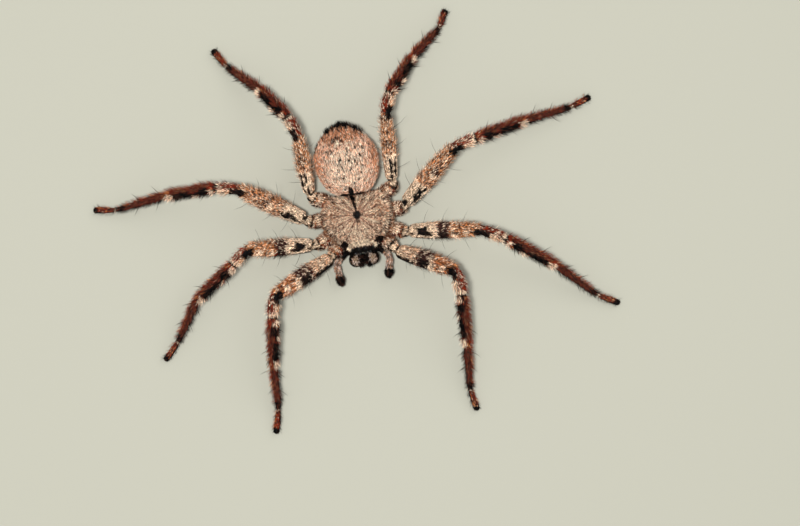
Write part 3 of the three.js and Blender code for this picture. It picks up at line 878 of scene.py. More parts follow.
@dataclass
class Carapace:
    """The round plate over the front part of the body: fovea, grooves, head and eye sockets.

    The half-width swells to its widest place and draws in to the head. A section is an arch
    over an upright rim. Grooves run from the fovea toward the legs. The coat's length is a table
    by distance from the fovea, and the blots are given by their fields.
    """

    front: float = -6.8
    rear: float = 4.2
    end: float = 3.78
    widest: float = 0.4
    half_width: float = 6.25
    head_half_width: float = 3.35
    neck: float = -5.2
    under: float = 4.72
    rim: float = 0.3
    crown: float = 7.25
    coat: float = 0.16
    rows: int = 150
    arch: int = 120
    floor: int = 24
    groove_angles: tuple[float, ...] = (38, 72, 104, 138)
    groove_depth: float = 0.17
    hair: Rows = ((0, 0.22), (0.8, 0.26), (1.6, 0.3), (5, 0.34), (7, 0.3))
    white_spots: Rows = ((-2.16, -5.6), (2.3, -5.5))
    blots: Rows = (
        (BLACK, 0.0, 0.0, 0.62, 0.72, 1.0, 0.3), (BLACK, -0.05, -1.0, 0.28, 0.5, 0.7, 0.3),
        (BLACK, -0.15, 1.5, 0.26, 1.1, 0.95, 0.25, 6), (BLACK, -0.35, 3.2, 0.42, 0.9, 1.0, 0.25, 10),
        (BLACK, 0.9, 0.0, 0.5, 0.14, 0.6, 0.2), (BLACK, -3.1, -5.35, 0.85, 1.2),
        (BLACK, 3.2, -5.35, 0.9, 1.4),
        (BLACK, 0.0, -6.95, 4.2, 1.42, 1.0, 0.3), (CREAM, 0.0, -5.0, 2.3, 0.55, 1.0, 0.3),
        (CREAM, 0.1, -3.4, 1.8, 1.9, 0.3, 0.9), (CREAM, -2.16, -5.6, 0.42, 0.4, 1.0, 0.2),
        # painted shadow: the DUSK band at y 4.0 and the BLACK line at y 3.72 darken the plate's rear under
        # the abdomen's front edge
        (CREAM, 2.3, -5.5, 0.42, 0.42, 1.0, 0.2), (DUSK, 0.0, 4.0, 4.4, 0.42, 0.9, 0.3),
        (BLACK, 0.1, 3.72, 2.8, 0.26, 0.9, 0.2), (ORANGE, 3.9, 0.4, 1.4, 1.9, 0.35, 0.9),
        (ORANGE, -4.2, 1.2, 1.4, 1.9, 0.3, 0.9), (DUSK, 3.9, 0.3, 0.35, 0.28, 0.7, 0.25),
        (DUSK, 4.9, -2.6, 0.5, 1.1, 0.5, 0.4, -20), (DUSK, -4.8, -2.8, 0.5, 1.1, 0.5, 0.4, 20),
        (DUSK, -1.2, -2.2, 0.2, 1.1, 0.45, 0.3, -25), (DUSK, 1.3, -2.3, 0.2, 1.1, 0.4, 0.3, 25),
    )

    def half(self, y: Array) -> Array:
        """Half-width of the plate with its coat: roots of powers behind the widest place and at
        the face, and a power of a cosine between them.

        Args:
            y: places along the body.

        Returns:
            The half-width there.
        """
        behind = np.clip((y - self.widest) / (self.rear - self.widest), 0, 1)
        ahead = np.clip((self.widest - y) / (self.widest - self.neck), 0, 1)
        face = np.clip((self.neck - y) / (self.neck - self.front), 0, 1)
        spare = self.half_width - self.head_half_width
        rear = self.half_width * np.sqrt(1 - 0.86 * behind**2.4)
        side = self.head_half_width + spare * np.maximum(np.cos(ahead * math.pi / 2), 0) ** 0.85
        head = self.head_half_width * np.sqrt(1 - 0.42 * face**3)
        return np.where(y >= self.widest, rear, np.where(y >= self.neck, side, head))

    def top(self, y: Array) -> Array:
        """Height of the midline's skin: a long low crown with a steep rear slope.

        Args:
            y: places along the body.

        Returns:
            The height there.
        """
        low = self.under + self.rim
        behind = np.clip(y / (self.end + 0.05), 0, 1)
        rear = low + (self.crown - low) * (1 - behind**2.2) ** 0.9
        return np.where(y > 0, rear, self.crown - 1.05 * (y / self.front) ** 4) - self.coat

    def surface(self) -> Array:
        """Rings of the plate, each an arch closed by a flat floor, with both ends rounded.

        Returns:
            Points, rows x columns x 3.
        """
        front = self.front + self.coat
        y = front + (self.end - front) * (1 - np.cos(np.linspace(0, math.pi, self.rows))) / 2
        close = round_end(y - front, 0.5, 0.01) ** 0.8 * round_end(self.end - y, 0.3, 0.01) ** 0.6
        low = self.under + self.rim
        half = ((self.half(y) - self.coat) * (0.5 + 0.5 * close))[:, None]
        rise = ((self.top(y) - low) * (0.35 + 0.65 * close))[:, None]
        angles = np.linspace(0, math.pi, self.arch)
        across = np.linspace(-1, 1, self.floor)
        floor = np.tile(self.under + 0.05 * (1 - across**2), (self.rows, 1))
        z = np.concatenate([low + rise * np.sin(angles) ** 1.15, floor], 1)
        return grid(half * np.concatenate([np.cos(angles), across]), y[:, None], z)

    def relief(self, x: Array, y: Array) -> Array:
        """Height added to the arch: the fovea's pit, grooves that run out from it along bell
        curves, and a head that is a little raised between the first pair of grooves.

        Args:
            x: places across the body.
            y: places along the body.

        Returns:
            The height at each place.
        """
        distance = np.hypot(x, y)
        angle = np.degrees(np.arctan2(np.abs(x), -y))
        grooves = sum(bell(np.radians(angle - groove) * distance, 0.3) for groove in self.groove_angles)
        grooves = self.groove_depth * grooves * ramp(distance, 1.0, 1.2) * ramp(distance, 5.0, -1.5)
        head = 0.16 * ramp(angle, self.groove_angles[0], -14) * ramp(distance, 2.0, 2.0)
        swell = 0.05 * ripple(x / 1.3, y / 1.3, 61) * ramp(distance, 0.9, 1.0)
        return head + swell - grooves - 0.42 * bell(x, 0.34) * bell(y, 0.62)

    def paint(self, x: Array, y: Array) -> Array:
        """Markings of the plate: blots, pale rays and dark valleys that run out from the fovea
        where a wave of the angle is high or low, specks, and painted shade along the rim of its front half.

        Args:
            x: places across the body.
            y: places along the body.

        Returns:
            Strength of each Tone.
        """
        marks = blotted(self.blots, x, y, 71)
        for place in self.white_spots:
            marks[..., BLACK] *= 1 - Blot(CREAM, *place, 0.45, 0.42).at(x, y)
        bare = 1 - marks[..., BLACK]
        distance = np.hypot(x, y)
        angle = np.arctan2(x, -y)
        wave = np.sin(13 * angle + 1.4 * np.sin(3 * angle)) + 0.5 * np.sin(29 * angle + 2)
        reach = 3.6 + 0.9 * np.sin(5 * angle + 1)
        head = ramp(np.abs(angle), 0.62, -0.1)
        ray = ramp(wave, 0.85, 0.4) * ramp(distance, 0.9, 0.6) * ramp(distance, reach, -0.9)
        valley = ramp(wave, -0.75, -0.5) * ramp(distance, 0.9, 0.6)
        valley *= np.maximum(ramp(distance, 4.6, -2), head)
        dark = speckle(x, y, 0.5, 0.17, 73) * ramp(distance, 2.2, 1.5)
        pale = (0.85 + 0.1 * head) * speckle(x, y, 0.5, 0.28, 74) * ramp(distance, 1.8, 1.5)
        # painted shade: the edge of the front half darkens where the plate's sides fall away
        rim = ramp(np.abs(x) / np.maximum(self.half(y), 0.5), 0.9, 0.08) * ramp(y, 1.0, -1.5)
        strengthen(marks, CREAM, np.maximum(0.95 * ray, pale) * bare)
        strengthen(marks, SHADE, 0.85 * valley)
        strengthen(marks, DUSK, np.maximum(0.85 * dark, 0.7 * rim))
        return marks

    def patch(self, eyes: Array) -> Patch:
        """The plate as a grid, sunk round the eyes.

        Args:
            eyes: middle and radius of each eye, n x 4.

        Returns:
            The grid.
        """
        points = self.surface()
        x, y, z = np.moveaxis(points, -1, 0)
        z += ramp(z, self.under + self.rim, 0.5) * self.relief(x, y)
        hair = read_table(np.hypot(x, y), self.hair)
        for eye in eyes:
            away = points - eye[:3]
            distance = np.linalg.norm(away, axis=-1)
            rim = eye[3] * 1.02
            push = np.where(distance < rim, rim - distance, 0.07 * bell(distance - 1.25 * rim, 0.1))
            points += unit(away) * push[..., None] * 0.9
            hair = np.where(distance < 1.25 * rim, 0.0, hair)
        hair = np.where(z > self.under + 0.12, hair, 0.0)
        lie = grid(np.hypot(x, y), np.arctan2(x, -y) * 2.6, 40.0)
        return Patch(points, self.paint(x, y), lie, hair, grid(x, y, 0.0))


@dataclass
class Abdomen:
    """The egg-shaped rear part of the body.

    At an angle a from front to rear the place is (1 - cos a) / 2. The half-width goes as a
    power of sin a that grows from front to rear, and the half-height as nearly sin a. The
    middle line drops from the raised front. Dimples are given for one side by their places.
    """

    front: float = 3.35
    rear: float = 16.3
    half_width: float = 5.85
    half_height: float = 3.75
    axis: float = 4.7
    lift: float = 1.75
    front_side: float = -0.15
    rear_side: float = -0.7
    fullness: tuple[float, float] = (0.75, 1.2)
    coat: float = 0.22
    rows: int = 110
    columns: int = 112
    dimples: Rows = ((1.1, 7.0), (1.35, 9.1), (1.2, 11.2))
    hair: Rows = ((3.2, 0.36), (5, 0.44), (13, 0.48), (16.5, 0.66))
    specks: int = 70
    blots: Rows = (
        (CREAM, -0.6, 8.2, 3.4, 3.8, 0.5, 1.8), (CREAM, 0.6, 10.8, 2.6, 2.2, 0.35, 1.4),
        (ORANGE, -0.7, 14.9, 5.4, 2.1, 0.9, 1.2), (RUST, -0.7, 15.6, 5.4, 1.5, 0.1, 1.0),
        (ORANGE, 5.6, 9.5, 1.7, 5.4, 0.9, 1.6), (ORANGE, -6.4, 9.5, 1.7, 5.4, 0.9, 1.6),
        (DUSK, -2.3, 13.4, 0.42, 0.42, 0.9, 0.3), (DUSK, -1.5, 13.9, 0.7, 0.35, 0.85, 0.3),
        (DUSK, -0.7, 13.3, 0.3, 0.4, 0.8, 0.3), (CREAM, -1.55, 12.95, 0.42, 0.5, 1.0, 0.25),
        # painted shadow: the two thin BLACK lines at y 3.75 and 3.7 darken the front edge where it meets the
        # carapace
        (BLACK, -0.35, 3.9, 0.45, 1.1, 1.0, 0.25, 8), (BLACK, -1.6, 3.75, 0.9, 0.25, 0.9, 0.2),
        (BLACK, 1.0, 3.7, 1.2, 0.22, 0.9, 0.2), (DUSK, -1.3, 4.6, 0.3, 0.3, 0.8, 0.25),
        (BLACK, -1.1, 16.4, 2.6, 0.65, 1.0, 0.4, -8),
    )

    def scattered(self, seed: int) -> Rows:
        """Black specks as blots, about twice as long as wide, thickest in the middle.

        Args:
            seed: picks the draw.

        Returns:
            Their fields.
        """
        draw = np.random.default_rng(seed)
        x = draw.normal(-0.5, 2.3, self.specks)
        y = draw.normal(9.6, 2.4, self.specks)
        size = draw.uniform(0.1, 0.17, self.specks)
        lean = draw.uniform(-35, 35, self.specks)
        return tuple((BLACK, *row[:3], 1.8 * row[2], 1.0, 0.12, row[3]) for row in zip(x, y, size, lean))

    def paint(self, x: Array, y: Array, upper: Array) -> Array:
        """Markings: a pale middle, fine lengthwise streaks with painted shade where they grow
        stronger toward the sides, specks, a darker rear and a black hem.

        Args:
            x: places across the body.
            y: places along the body.
            upper: 1 on the back, 0 below.

        Returns:
            Strength of each Tone.
        """
        marks = blotted(self.blots + self.scattered(83), x, y, 91, 0.1)
        # streaks in the hair's own darker tone; their extra strength toward the sides is painted shade on the
        # rounded flanks
        sides = ramp(np.abs(x + 0.4), 3.4, 1.6)
        strengthen(marks, SHADE, (0.5 + 0.3 * sides) * speckle(x, y / 2, 0.4, 0.24, 97))
        strengthen(marks, ORANGE, 0.5 * speckle(x, y / 1.5, 0.9, 0.3, 99))
        strengthen(marks, CREAM, 0.6 * speckle(x, y / 2, 0.42, 0.22, 100))
        strengthen(marks, DUSK, 0.5 * ramp(y, 12.9, 0.6) * speckle(x, y, 0.5, 0.17, 101))
        marks *= upper[..., None]
        hem = ramp(upper, 0.02, 0.1) * ramp(upper, 0.97, -0.1)
        right = 0.9 * ramp(np.abs(y - 12.8), 1.3, -0.6) * (x < -4)
        strengthen(marks, BLACK, hem * np.maximum(ramp(y, 14.4, 0.8), right))
        marks[..., SHADE] += 0.45 * (1 - upper)
        marks[..., RUST] += 0.35 * (1 - upper)
        return marks

    def patch(self) -> Patch:
        """The abdomen's skin as a grid, with shallow dimples where muscles hold.

        Returns:
            The grid.
        """
        angles = np.linspace(0.02, math.pi - 0.02, self.rows)[:, None]
        place = (1 - np.cos(angles)) / 2
        y = self.front + self.coat + (self.rear - self.front - 2 * self.coat) * place
        middle = self.front_side + (self.rear_side - self.front_side) * place
        power = self.fullness[0] + (self.fullness[1] - self.fullness[0]) * place
        wide = (self.half_width - self.coat) * np.sin(angles) ** power
        high = (self.half_height - self.coat) * np.sin(angles) ** 0.95
        level = self.axis + self.lift * (1 - place) ** 5 - 0.25 * place
        turns = full_turn(self.columns)
        x, y, z = np.moveaxis(grid(middle + wide * np.sin(turns), y, level + high * np.cos(turns)), -1, 0)
        upper = ramp(np.cos(turns), -0.15, 1.0) * np.ones_like(x)
        height = 0.05 * ripple(x / 1.1, y / 1.8, 93)
        for side in SIDES:
            for across, along in self.dimples:
                height -= 0.16 * bell(np.hypot(x - middle - side * across, y - along), 0.32)
        lie = grid(y, turns * np.maximum(wide, 0.4), 50.0)
        points = grid(x, y, z + upper * height)
        return Patch(points, self.paint(x, y, upper), lie, read_table(y, self.hair))


@dataclass
class Face:
    """Palps, chelicerae, fangs, eyes and the mouth's plates.

    Palps are given in the order of SIDES, each by the places its line passes on its own side. A
    jaw's level is a height, a place along the body and the two radii there. A row of eyes gives
    the left one's middle and radius, and a plate of the mouth its middle, half-width and
    half-length. Coats are tables of hair length: a palp's by part of its length, a jaw's by
    height.
    """

    palps: Rows = (
        ((1.75, -5.2, 1.8), (4.3, -7.35, 1.9), (5.0, -8.2, 2.2), (4.9, -9.9, 2.3), (4.7, -11.5, 1.6)),
        ((1.75, -5.2, 1.9), (4.0, -7.4, 2.0), (4.45, -8.4, 2.3), (4.2, -9.9, 2.3), (3.95, -11.3, 1.6)),
    )
    palp_girth: tuple[float, ...] = (0.55, 0.64, 0.68, 0.7, 0.76, 0.74, 0.6)
    palp_joints: tuple[float, ...] = (0.4, 0.55, 0.72)
    palp_root: float = 0.36
    palp_black: float = 0.77
    palp_tip: float = 0.2
    palp_hair: Rows = ((0, 0.2), (0.2, 0.34), (0.75, 0.36), (0.9, 0.46), (1, 0.5))
    jaw_side: float = 1.5
    jaw_levels: Rows = (
        (4.95, -7.75, 0.66, 0.7), (4.6, -7.8, 1.0, 1.05), (3.9, -7.85, 1.26, 1.35),
        (3.0, -7.85, 1.32, 1.42), (2.1, -7.7, 1.18, 1.25), (1.5, -7.6, 0.9, 0.95),
    )
    jaw_hair: Rows = ((1.4, 0.3), (2.2, 0.4), (4.4, 0.38), (5.0, 0.2))
    plates: Rows = ((0, -5.1, 2.45, 0.62, 0.75), (-1.35, -5.7, 2.2, 0.62, 1.2), (1.35, -5.7, 2.2, 0.62, 1.2))
    fang_line: tuple[Point, ...] = (
        (1.75, -7.75, 1.85), (2.0, -8.15, 1.2), (1.55, -8.3, 0.9), (0.95, -7.85, 0.8), (0.6, -7.2, 0.8),
    )
    fang_girth: tuple[float, ...] = (0.34, 0.3, 0.23, 0.15, 0.07)
    eye_rows: Rows = (
        (0.48, -6.86, 5.55, 0.24), (1.3, -6.8, 5.5, 0.36),
        (0.58, -6.02, 6.45, 0.24), (1.95, -5.92, 6.15, 0.32),
    )
    eye_sink: float = 0.45
    coat: float = 0.14

    def eyes(self) -> Array:
        """The eight eyes, sunk by a part of their radius.

        Returns:
            Middle and radius of each, 8 x 4.
        """
        rows = np.repeat(self.eye_rows, len(SIDES), 0)
        rows[:, 0] *= np.tile(SIDES, len(self.eye_rows))
        rows[:, 1] += rows[:, 3] * self.eye_sink
        return rows

    def lenses(self) -> list[Patch]:
        """The eyes as smooth balls: latitude rows from front to rear, longitude columns.

        Returns:
            Their grids.
        """
        latitude = np.linspace(0.12, math.pi - 0.12, 22)[:, None]
        turns = full_turn(28)
        ball = grid(np.sin(latitude) * np.cos(turns), -np.cos(latitude), np.sin(latitude) * np.sin(turns))
        shape = ball.shape[:2]
        balls = [eye[:3] + eye[3] * ball for eye in self.eyes()]
        return [Patch(points, plain_marks(*shape), points, np.zeros(shape)) for points in balls]

    def palp(self, side: int) -> Patch:
        """A palp: a tube along a smooth curve, drawn in at its joints, with a black bushy tip.

        Places are counted as parts of its length.

        Args:
            side: 1 for the left one and -1 for the right one.

        Returns:
            The grid.
        """
        points = np.array(self.palps[SIDES.index(side)]) * (side, 1, 1)
        points[-1] += self.palp_tip * unit(points[-1] - points[-2])
        curve = curve_through(points, 400)
        along = run_length(curve)
        even = np.linspace(0, along[-1], 90)
        t = even / even[-1]
        radius = np.interp(t, np.linspace(0, 1, len(self.palp_girth)), self.palp_girth) - self.coat
        radius *= round_end(even[-1] - even, 0.95) * round_end(even, 0.5)
        marks = plain_marks(len(t), cream=0.45, orange=0.5, dusk=0.3)
        marks[:, BLACK] = ramp(t, self.palp_black, 0.09) + ramp(t, self.palp_root, -0.06)
        for joint in self.palp_joints:
            radius *= 1 - 0.13 * bell(t - joint, 0.025)
            strengthen(marks, DUSK, 0.85 * bell(t - joint, 0.035))
        hair = read_table(t, self.palp_hair)
        return cord_patch(line_at(even, along, curve), radius, 24, marks, hair, 60.0 + side)

    def jaw(self, side: int) -> Patch:
        """A chelicera: level rings whose middle and radii follow a table of heights. It is pale
        in an oval and at its root, with black stripes there, and black all round.

        Args:
            side: 1 for the left one and -1 for the right one.

        Returns:
            The grid.
        """
        levels = np.array(self.jaw_levels)
        top, bottom = levels[[0, -1], 0]
        z = np.linspace(top - 0.02, bottom + 0.05, 60)
        y, wide, deep = (np.interp(-z, -levels[:, 0], levels[:, k]) for k in (1, 2, 3))
        close = round_end(top - z, 0.5) * round_end(z - bottom, 0.4)
        wide, deep = ((smoothed(radius - self.coat, 9) * close)[:, None] for radius in (wide, deep))
        turns = full_turn(36)
        x = side * self.jaw_side + wide * np.cos(turns)
        points = grid(x, y[:, None] + deep * np.sin(turns), z[:, None])
        x, y, z = np.moveaxis(points, -1, 0)
        wander = 0.35 * ripple(x / 0.5, y / 1.2, 55 + side)
        oval = np.hypot((x - side * 1.46) / 0.7, (y + 8.05) / 0.8)
        root = ramp(np.hypot(x - side * 0.98, y + 7.15), 0.42, -0.2)
        pale = np.maximum(ramp(oval, 1 + wander, -0.4) * ramp(z, 3.6, 0.5), root)
        marks = plain_marks(*x.shape, black=0.96)
        marks[..., BLACK] *= 1 - 0.92 * pale
        strengthen(marks, CREAM, np.maximum(0.75 * pale, root))
        strengthen(marks, BLACK, 0.7 * speckle(x, y / 2.4, 0.34, 0.3, 57 + side) * pale)
        return Patch(points, marks, grid(-z, turns * wide, 64.0 + side), read_table(z, self.jaw_hair))

    def mouth(self) -> list[Patch]:
        """The lip and the two plates beside it, under the body in front of the sternum.

        Returns:
            Their grids.
        """
        t = np.linspace(0.04, 0.96, 24)
        marks = plain_marks(len(t), rust=0.7, shade=0.4)
        ends = np.sin(t * math.pi) ** 0.6
        return [
            cord_patch(grid(x, y + long * (1 - 2 * t), z), wide * ends, 20, marks, 0.2, 67.0, 0.7)
            for x, y, z, wide, long in self.plates
        ]

    def fangs(self) -> list[Patch]:
        """Fangs: tapering hooks along a smooth curve.

        Returns:
            Their grids.
        """
        t = np.linspace(0, 1, 48)
        girth = smoothed(np.interp(t, np.linspace(0, 1, len(self.fang_girth)), self.fang_girth), 7)
        girth *= round_end(1 - t, 0.18) * round_end(t, 0.1)
        lines = [curve_through(np.array(self.fang_line) * (side, 1, 1), len(t)) for side in SIDES]
        return [cord_patch(line, girth, 20, plain_marks(len(t)), 0.0, 70.0) for line in lines]


@dataclass
class Trunk:
    """What joins the limbs under the carapace: soft flanks, sternum, stalk and spinnerets.

    A spinneret is a cone that runs backward, given by its place across from the abdomen's own
    middle, its height, where it starts and ends, and its radius there.
    """

    flank_front: float = -6.2
    flank_length: float = 9.7
    flank_height: float = 3.95
    flank_half: float = 5.7
    flank_squash: float = 0.16
    sternum_middle: float = -0.6
    sternum_half: tuple[float, float] = (2.5, 3.8)
    sternum_bottom: float = 2.05
    sternum_depth: float = 0.75
    sternum_top: float = 4.1
    cones: Rows = (
        (0.0, 2.5, 14.3, 15.8, 1.0, 0.68),
        (0.42, 2.75, 15.2, 16.5, 0.3, 0.16), (-0.42, 2.75, 15.2, 16.5, 0.3, 0.16),
        (0.4, 2.2, 15.2, 16.4, 0.34, 0.18), (-0.4, 2.2, 15.2, 16.4, 0.34, 0.18),
    )

    def flanks(self) -> Patch:
        """The soft body between carapace and sternum: a flat egg with a furry edge.

        Returns:
            The grid, with hair on its edge, below and at its front.
        """
        t = np.linspace(0.03, 0.97, 48)
        centres = grid(0.0, self.flank_front + self.flank_length * t, self.flank_height)
        girth = self.flank_half * np.sin(t * math.pi) ** 0.55
        marks = plain_marks(len(t), orange=0.3, dusk=0.3, shade=0.3)
        marks[:, BLACK] = ramp(centres[:, 1], -5.0, -0.3)
        body = cord_patch(centres, girth, 48, marks, 0.5, 80.0, self.flank_squash)
        x, y, z = np.moveaxis(body.points, -1, 0)
        inner = np.where(z < centres[:, None, 2], 0.26, np.where(y < -5.2, 0.4, 0.0))
        body.hair = np.where(np.abs(x) > 0.8 * girth[:, None], body.hair, inner)
        body.flow = grid(x, -0.5, 0.6)
        return body

    def stalk(self) -> Patch:
        """The narrow pedicel between the two parts of the body.

        Returns:
            The grid.
        """
        t = np.linspace(0, 1, 16)
        girth = 0.5 * round_end(t, 0.1) * round_end(1 - t, 0.1)
        marks = plain_marks(len(t), rust=0.6, shade=0.6)
        return cord_patch(grid(0.0, 3.0 + 2.2 * t, 3.5 + 0.3 * t), girth, 20, marks, 0.0, 81.0)

    def spinnerets(self) -> list[Patch]:
        """A low base and two pairs of blunt cones below the rear of the abdomen.

        Returns:
            Their grids.
        """
        t = np.linspace(0, 1, 24)
        ends = round_end(t, 0.2) * round_end(1 - t, 0.2)
        marks = plain_marks(len(t), rust=0.8, shade=0.5)
        parts = []
        for x, z, start, end, thick, thin in self.cones:
            centres = grid(Abdomen.rear_side + x, start + (end - start) * t, z)
            parts.append(cord_patch(centres, (thick + (thin - thick) * t) * ends, 20, marks, 0.3, 82.0))
        return parts

    def sternum(self) -> Patch:
        """The breast plate: a heart-shaped shield, domed downward, with an upright wall behind.

        Returns:
            The grid.
        """
        girth = np.sqrt(1 - (1 - np.linspace(0.002, 1, 48)[:, None] ** 1.3) ** 2)
        turns = full_turn(60)
        outline = girth * (1 + 0.05 * np.cos(2 * turns) - 0.05 * np.abs(np.cos(turns - math.pi / 2)) ** 6)
        x = self.sternum_half[0] * np.cos(turns) * outline
        y = self.sternum_half[1] * np.sin(turns) * outline
        z = self.sternum_bottom + self.sternum_depth * (1 - np.sqrt(1 - 0.98 * girth**2))
        wall = grid(0.96 * x[-1:], 0.96 * y[-1:] + self.sternum_middle, self.sternum_top)
        points = np.concatenate([grid(x, y + self.sternum_middle, z), wall])
        x, y, z = np.moveaxis(points, -1, 0)
        marks = plain_marks(*x.shape, rust=0.55, cream=0.15)
        return Patch(points, marks, grid(y, x, 85.0), np.where(z < 2.9, 0.3, 0.0), grid(0 * x, 1.0, 0.0))


# Coat


@dataclass(frozen=True)
class Lay:
    """How tufts stand: sizes in millimetres, angles in degrees."""

    width: float = 0.1
    lift: float = 20.0
    lift_spread: float = 9.0
    swing: float = 11.0
    lock: float = 0.45
    pull: float = 0.45
    stretch: float = 1.0
    droop: float = 0.35
    sharing: float = 0.7
    cell: tuple[float, float] = (0.5, 0.24)


@dataclass
class Strands:
    """Tufts as arrays: root, outward normal, direction of lie, sizes, markings and UV place."""

    root: Array
    normal: Array
    flow: Array
    length: Array
    width: Array
    lift: Array
    droop: Array
    marks: Array
    tone: Array
    place: Array

    @staticmethod
    def joined(parts: list["Strands"]) -> "Strands":
        """All tufts of several lots in one."""
        names = Strands.__dataclass_fields__
        return Strands(*(np.concatenate([getattr(part, name) for part in parts]) for name in names))

    def dyed(self, **strengths: float) -> "Strands":
        """The same tufts, with the same strength of each named Tone all over."""
        return replace(self, marks=plain_marks(len(self.root), **strengths))


def grow(
    patch: Patch,
    count: int,
    lay: Lay,
    seed: int,
    window: tuple[float, float, float, float] = (0.0, 0.0, 1.0, 1.0),
    where: Array | float = 1.0,
) -> Strands:
    """Sows tufts evenly over a patch.

    Cells are drawn by their area, and a root lies anywhere in its cell. Each tuft follows the
    patch's lie, turned by a field that neighbours share and by a little of its own, and leans
    toward the middle of its lock, so that tufts gather. A tuft takes a tone where a random
    number falls below the mark's strength, so markings break up into single tufts.

    Args:
        patch: the skin that the tufts stand on.
        count: number of tufts.
        lay: how they stand.
        seed: picks the draw.
        window: the patch's rectangle on the bake map, as u, v, width, height.
        where: density on the patch's grid, or the same all over.

    Returns:
        The tufts.
    """
    draw = np.random.default_rng(seed)
    rows, columns = patch.points.shape[:2]
    along, across = patch.slopes()
    area = np.linalg.norm(np.cross(along, across), axis=-1) * (patch.hair > 0) * where
    weight = (area[:-1] + area[1:]).ravel()
    row, column = np.divmod(draw.choice(weight.size, count, p=weight / weight.sum()), columns)
    beside = (column + 1) % columns
    a = draw.random(count)
    b = draw.random(count)

    def read(values: Array) -> Array:
        """Values of a grid at the roots, evenly blended from the four corners of the cell.

        Args:
            values: the grid.

        Returns:
            A value for each root.
        """
        extra = (slice(None),) + (None,) * (values.ndim - 2)
        low = values[row, column] * (1 - b)[extra] + values[row, beside] * b[extra]
        high = values[row + 1, column] * (1 - b)[extra] + values[row + 1, beside] * b[extra]
        return low * (1 - a)[extra] + high * a[extra]

    normal = unit(read(patch.normals()))
    flow = level_with(read(along if patch.flow is None else patch.flow), normal)
    side = np.cross(normal, flow)
    lie = read(patch.lie)
    shared_swing = 0.8 * ripple(lie[:, 0] / 1.6, lie[:, 1] / 1.6 + lie[:, 2], seed + 5)
    swing = lay.swing * (shared_swing + draw.normal(0, 0.7, count))
    middle = (np.floor(lie[:, :2] / lay.lock + draw.uniform(-0.15, 0.15, (count, 2))) + 0.5) * lay.lock
    locks = [np.floor(lie[:, k] / size + draw.uniform(-0.2, 0.2, count)) for k, size in enumerate(lay.cell)]
    own = draw.random((count, 2))
    shared = np.column_stack([cell_noise(*locks, seed + k) for k in (0, 1)])
    tone = np.where(draw.random((count, 1)) < lay.sharing, shared, own)
    length = np.maximum(read(patch.hair), 0.12) * lay.stretch * draw.uniform(0.7, 1.25, count)
    lean = lay.pull * (middle[:, 1] - lie[:, 1]) / np.maximum(length, 0.2)
    angle = np.radians(swing) + np.clip(lean, -0.5, 0.5) * np.sign(np.sum(side * read(across), axis=1))
    marks = read(patch.marks)
    marks[:, :SHADE] = marks[:, :SHADE] > draw.uniform(0.12, 0.88, (count, SHADE))
    margin = 0.004
    inside = np.column_stack([(row + a) / (rows - 1), (column + b) / columns])
    return Strands(
        root=read(patch.points),
        normal=normal,
        flow=flow * np.cos(angle)[:, None] + side * np.sin(angle)[:, None],
        length=length,
        width=lay.width * draw.uniform(0.75, 1.2, count),
        lift=np.radians(np.maximum(lay.lift + draw.normal(0, lay.lift_spread, count), 2.0)),
        droop=np.full(count, lay.droop),
        marks=marks,
        tone=tone,
        place=np.array(window[:2]) + margin + (np.array(window[2:]) - 2 * margin) * inside,
    )


@dataclass(frozen=True)
class TuftShape:
    """Vertices of one tuft, and its faces.

    Attributes:
        ahead: how far along the tuft each vertex lies, from 0 at the root to 1 at the tip.
        rise: how much of the tuft's rise it has.
        aside: its place across, in half-widths.
        above: its height over the tuft's flat underside, in half-widths.
        quads: faces with four sides.
        triangles: faces with three sides.
        chart: the tuft's patch on the bake map.
    """

    ahead: Array
    rise: Array
    aside: Array
    above: Array
    quads: Array
    triangles: Array
    chart: Array


CHART = 0.0005
SHORT_TUFT = TuftShape(
    ahead=np.array([0, 0, 0, 1.0]),
    rise=np.array([0, 0, 0, 1.0]),
    aside=np.array([1, -1, 0, 0.0]),
    above=np.array([0, 0, 1, 0.0]),
    quads=np.zeros((0, 4), int),
    triangles=np.array([[0, 3, 1], [1, 3, 2], [2, 3, 0], [0, 1, 2]]),
    chart=CHART * np.array([[-3, -3], [3, -3], [0, -1.8], [0, 3]]),
)
LONG_TUFT = TuftShape(
    ahead=np.array([0, 0, 0, 0.45, 0.45, 0.45, 1.0]),
    rise=np.array([0, 0, 0, 0.54, 0.54, 0.54, 1.0]),
    aside=np.array([1, -1, 0, 0.8, -0.8, 0, 0.0]),
    above=np.array([0, 0, 1, 0, 0, 0.8, 0.0]),
    quads=np.array([[0, 3, 4, 1], [1, 4, 5, 2], [2, 5, 3, 0]]),
    triangles=np.array([[3, 6, 4], [4, 6, 5], [5, 6, 3], [0, 1, 2]]),
    chart=CHART * np.array([[-3, -3], [3, -3], [0, -1.8], [-2.4, 0], [2.4, 0], [0, 0.8], [0, 3]]),
)


def tuft_points(strands: Strands, shape: TuftShape) -> Array:
    """Places of the vertices of tufts.

    With flow f, normal n and lift l, a vertex lies at root + L (ahead cos l f + rise sin l n)
    + W (aside across + above n), where W is half the width, and a tip's rise is less by the
    droop.

    Args:
        strands: the tufts.
        shape: what each of them looks like.

    Returns:
        Points, tufts x vertices x 3, none of them below the floor.
    """
    ahead = strands.flow * (strands.length * np.cos(strands.lift))[:, None]
    rise = strands.normal * (strands.length * np.sin(strands.lift))[:, None]
    half = strands.width[:, None] / 2
    lifted = np.where(shape.ahead == 1, 1 - strands.droop[:, None], shape.rise)
    made = (strands.root - strands.normal * 0.03)[:, None]
    made = made + shape.ahead[:, None] * ahead[:, None] + lifted[..., None] * rise[:, None]
    made = made + shape.aside[:, None] * (np.cross(strands.normal, strands.flow) * half)[:, None]
    made = made + shape.above[:, None] * (strands.normal * half)[:, None]
    made[..., 2] = np.maximum(made[..., 2], 0.005)
    return made


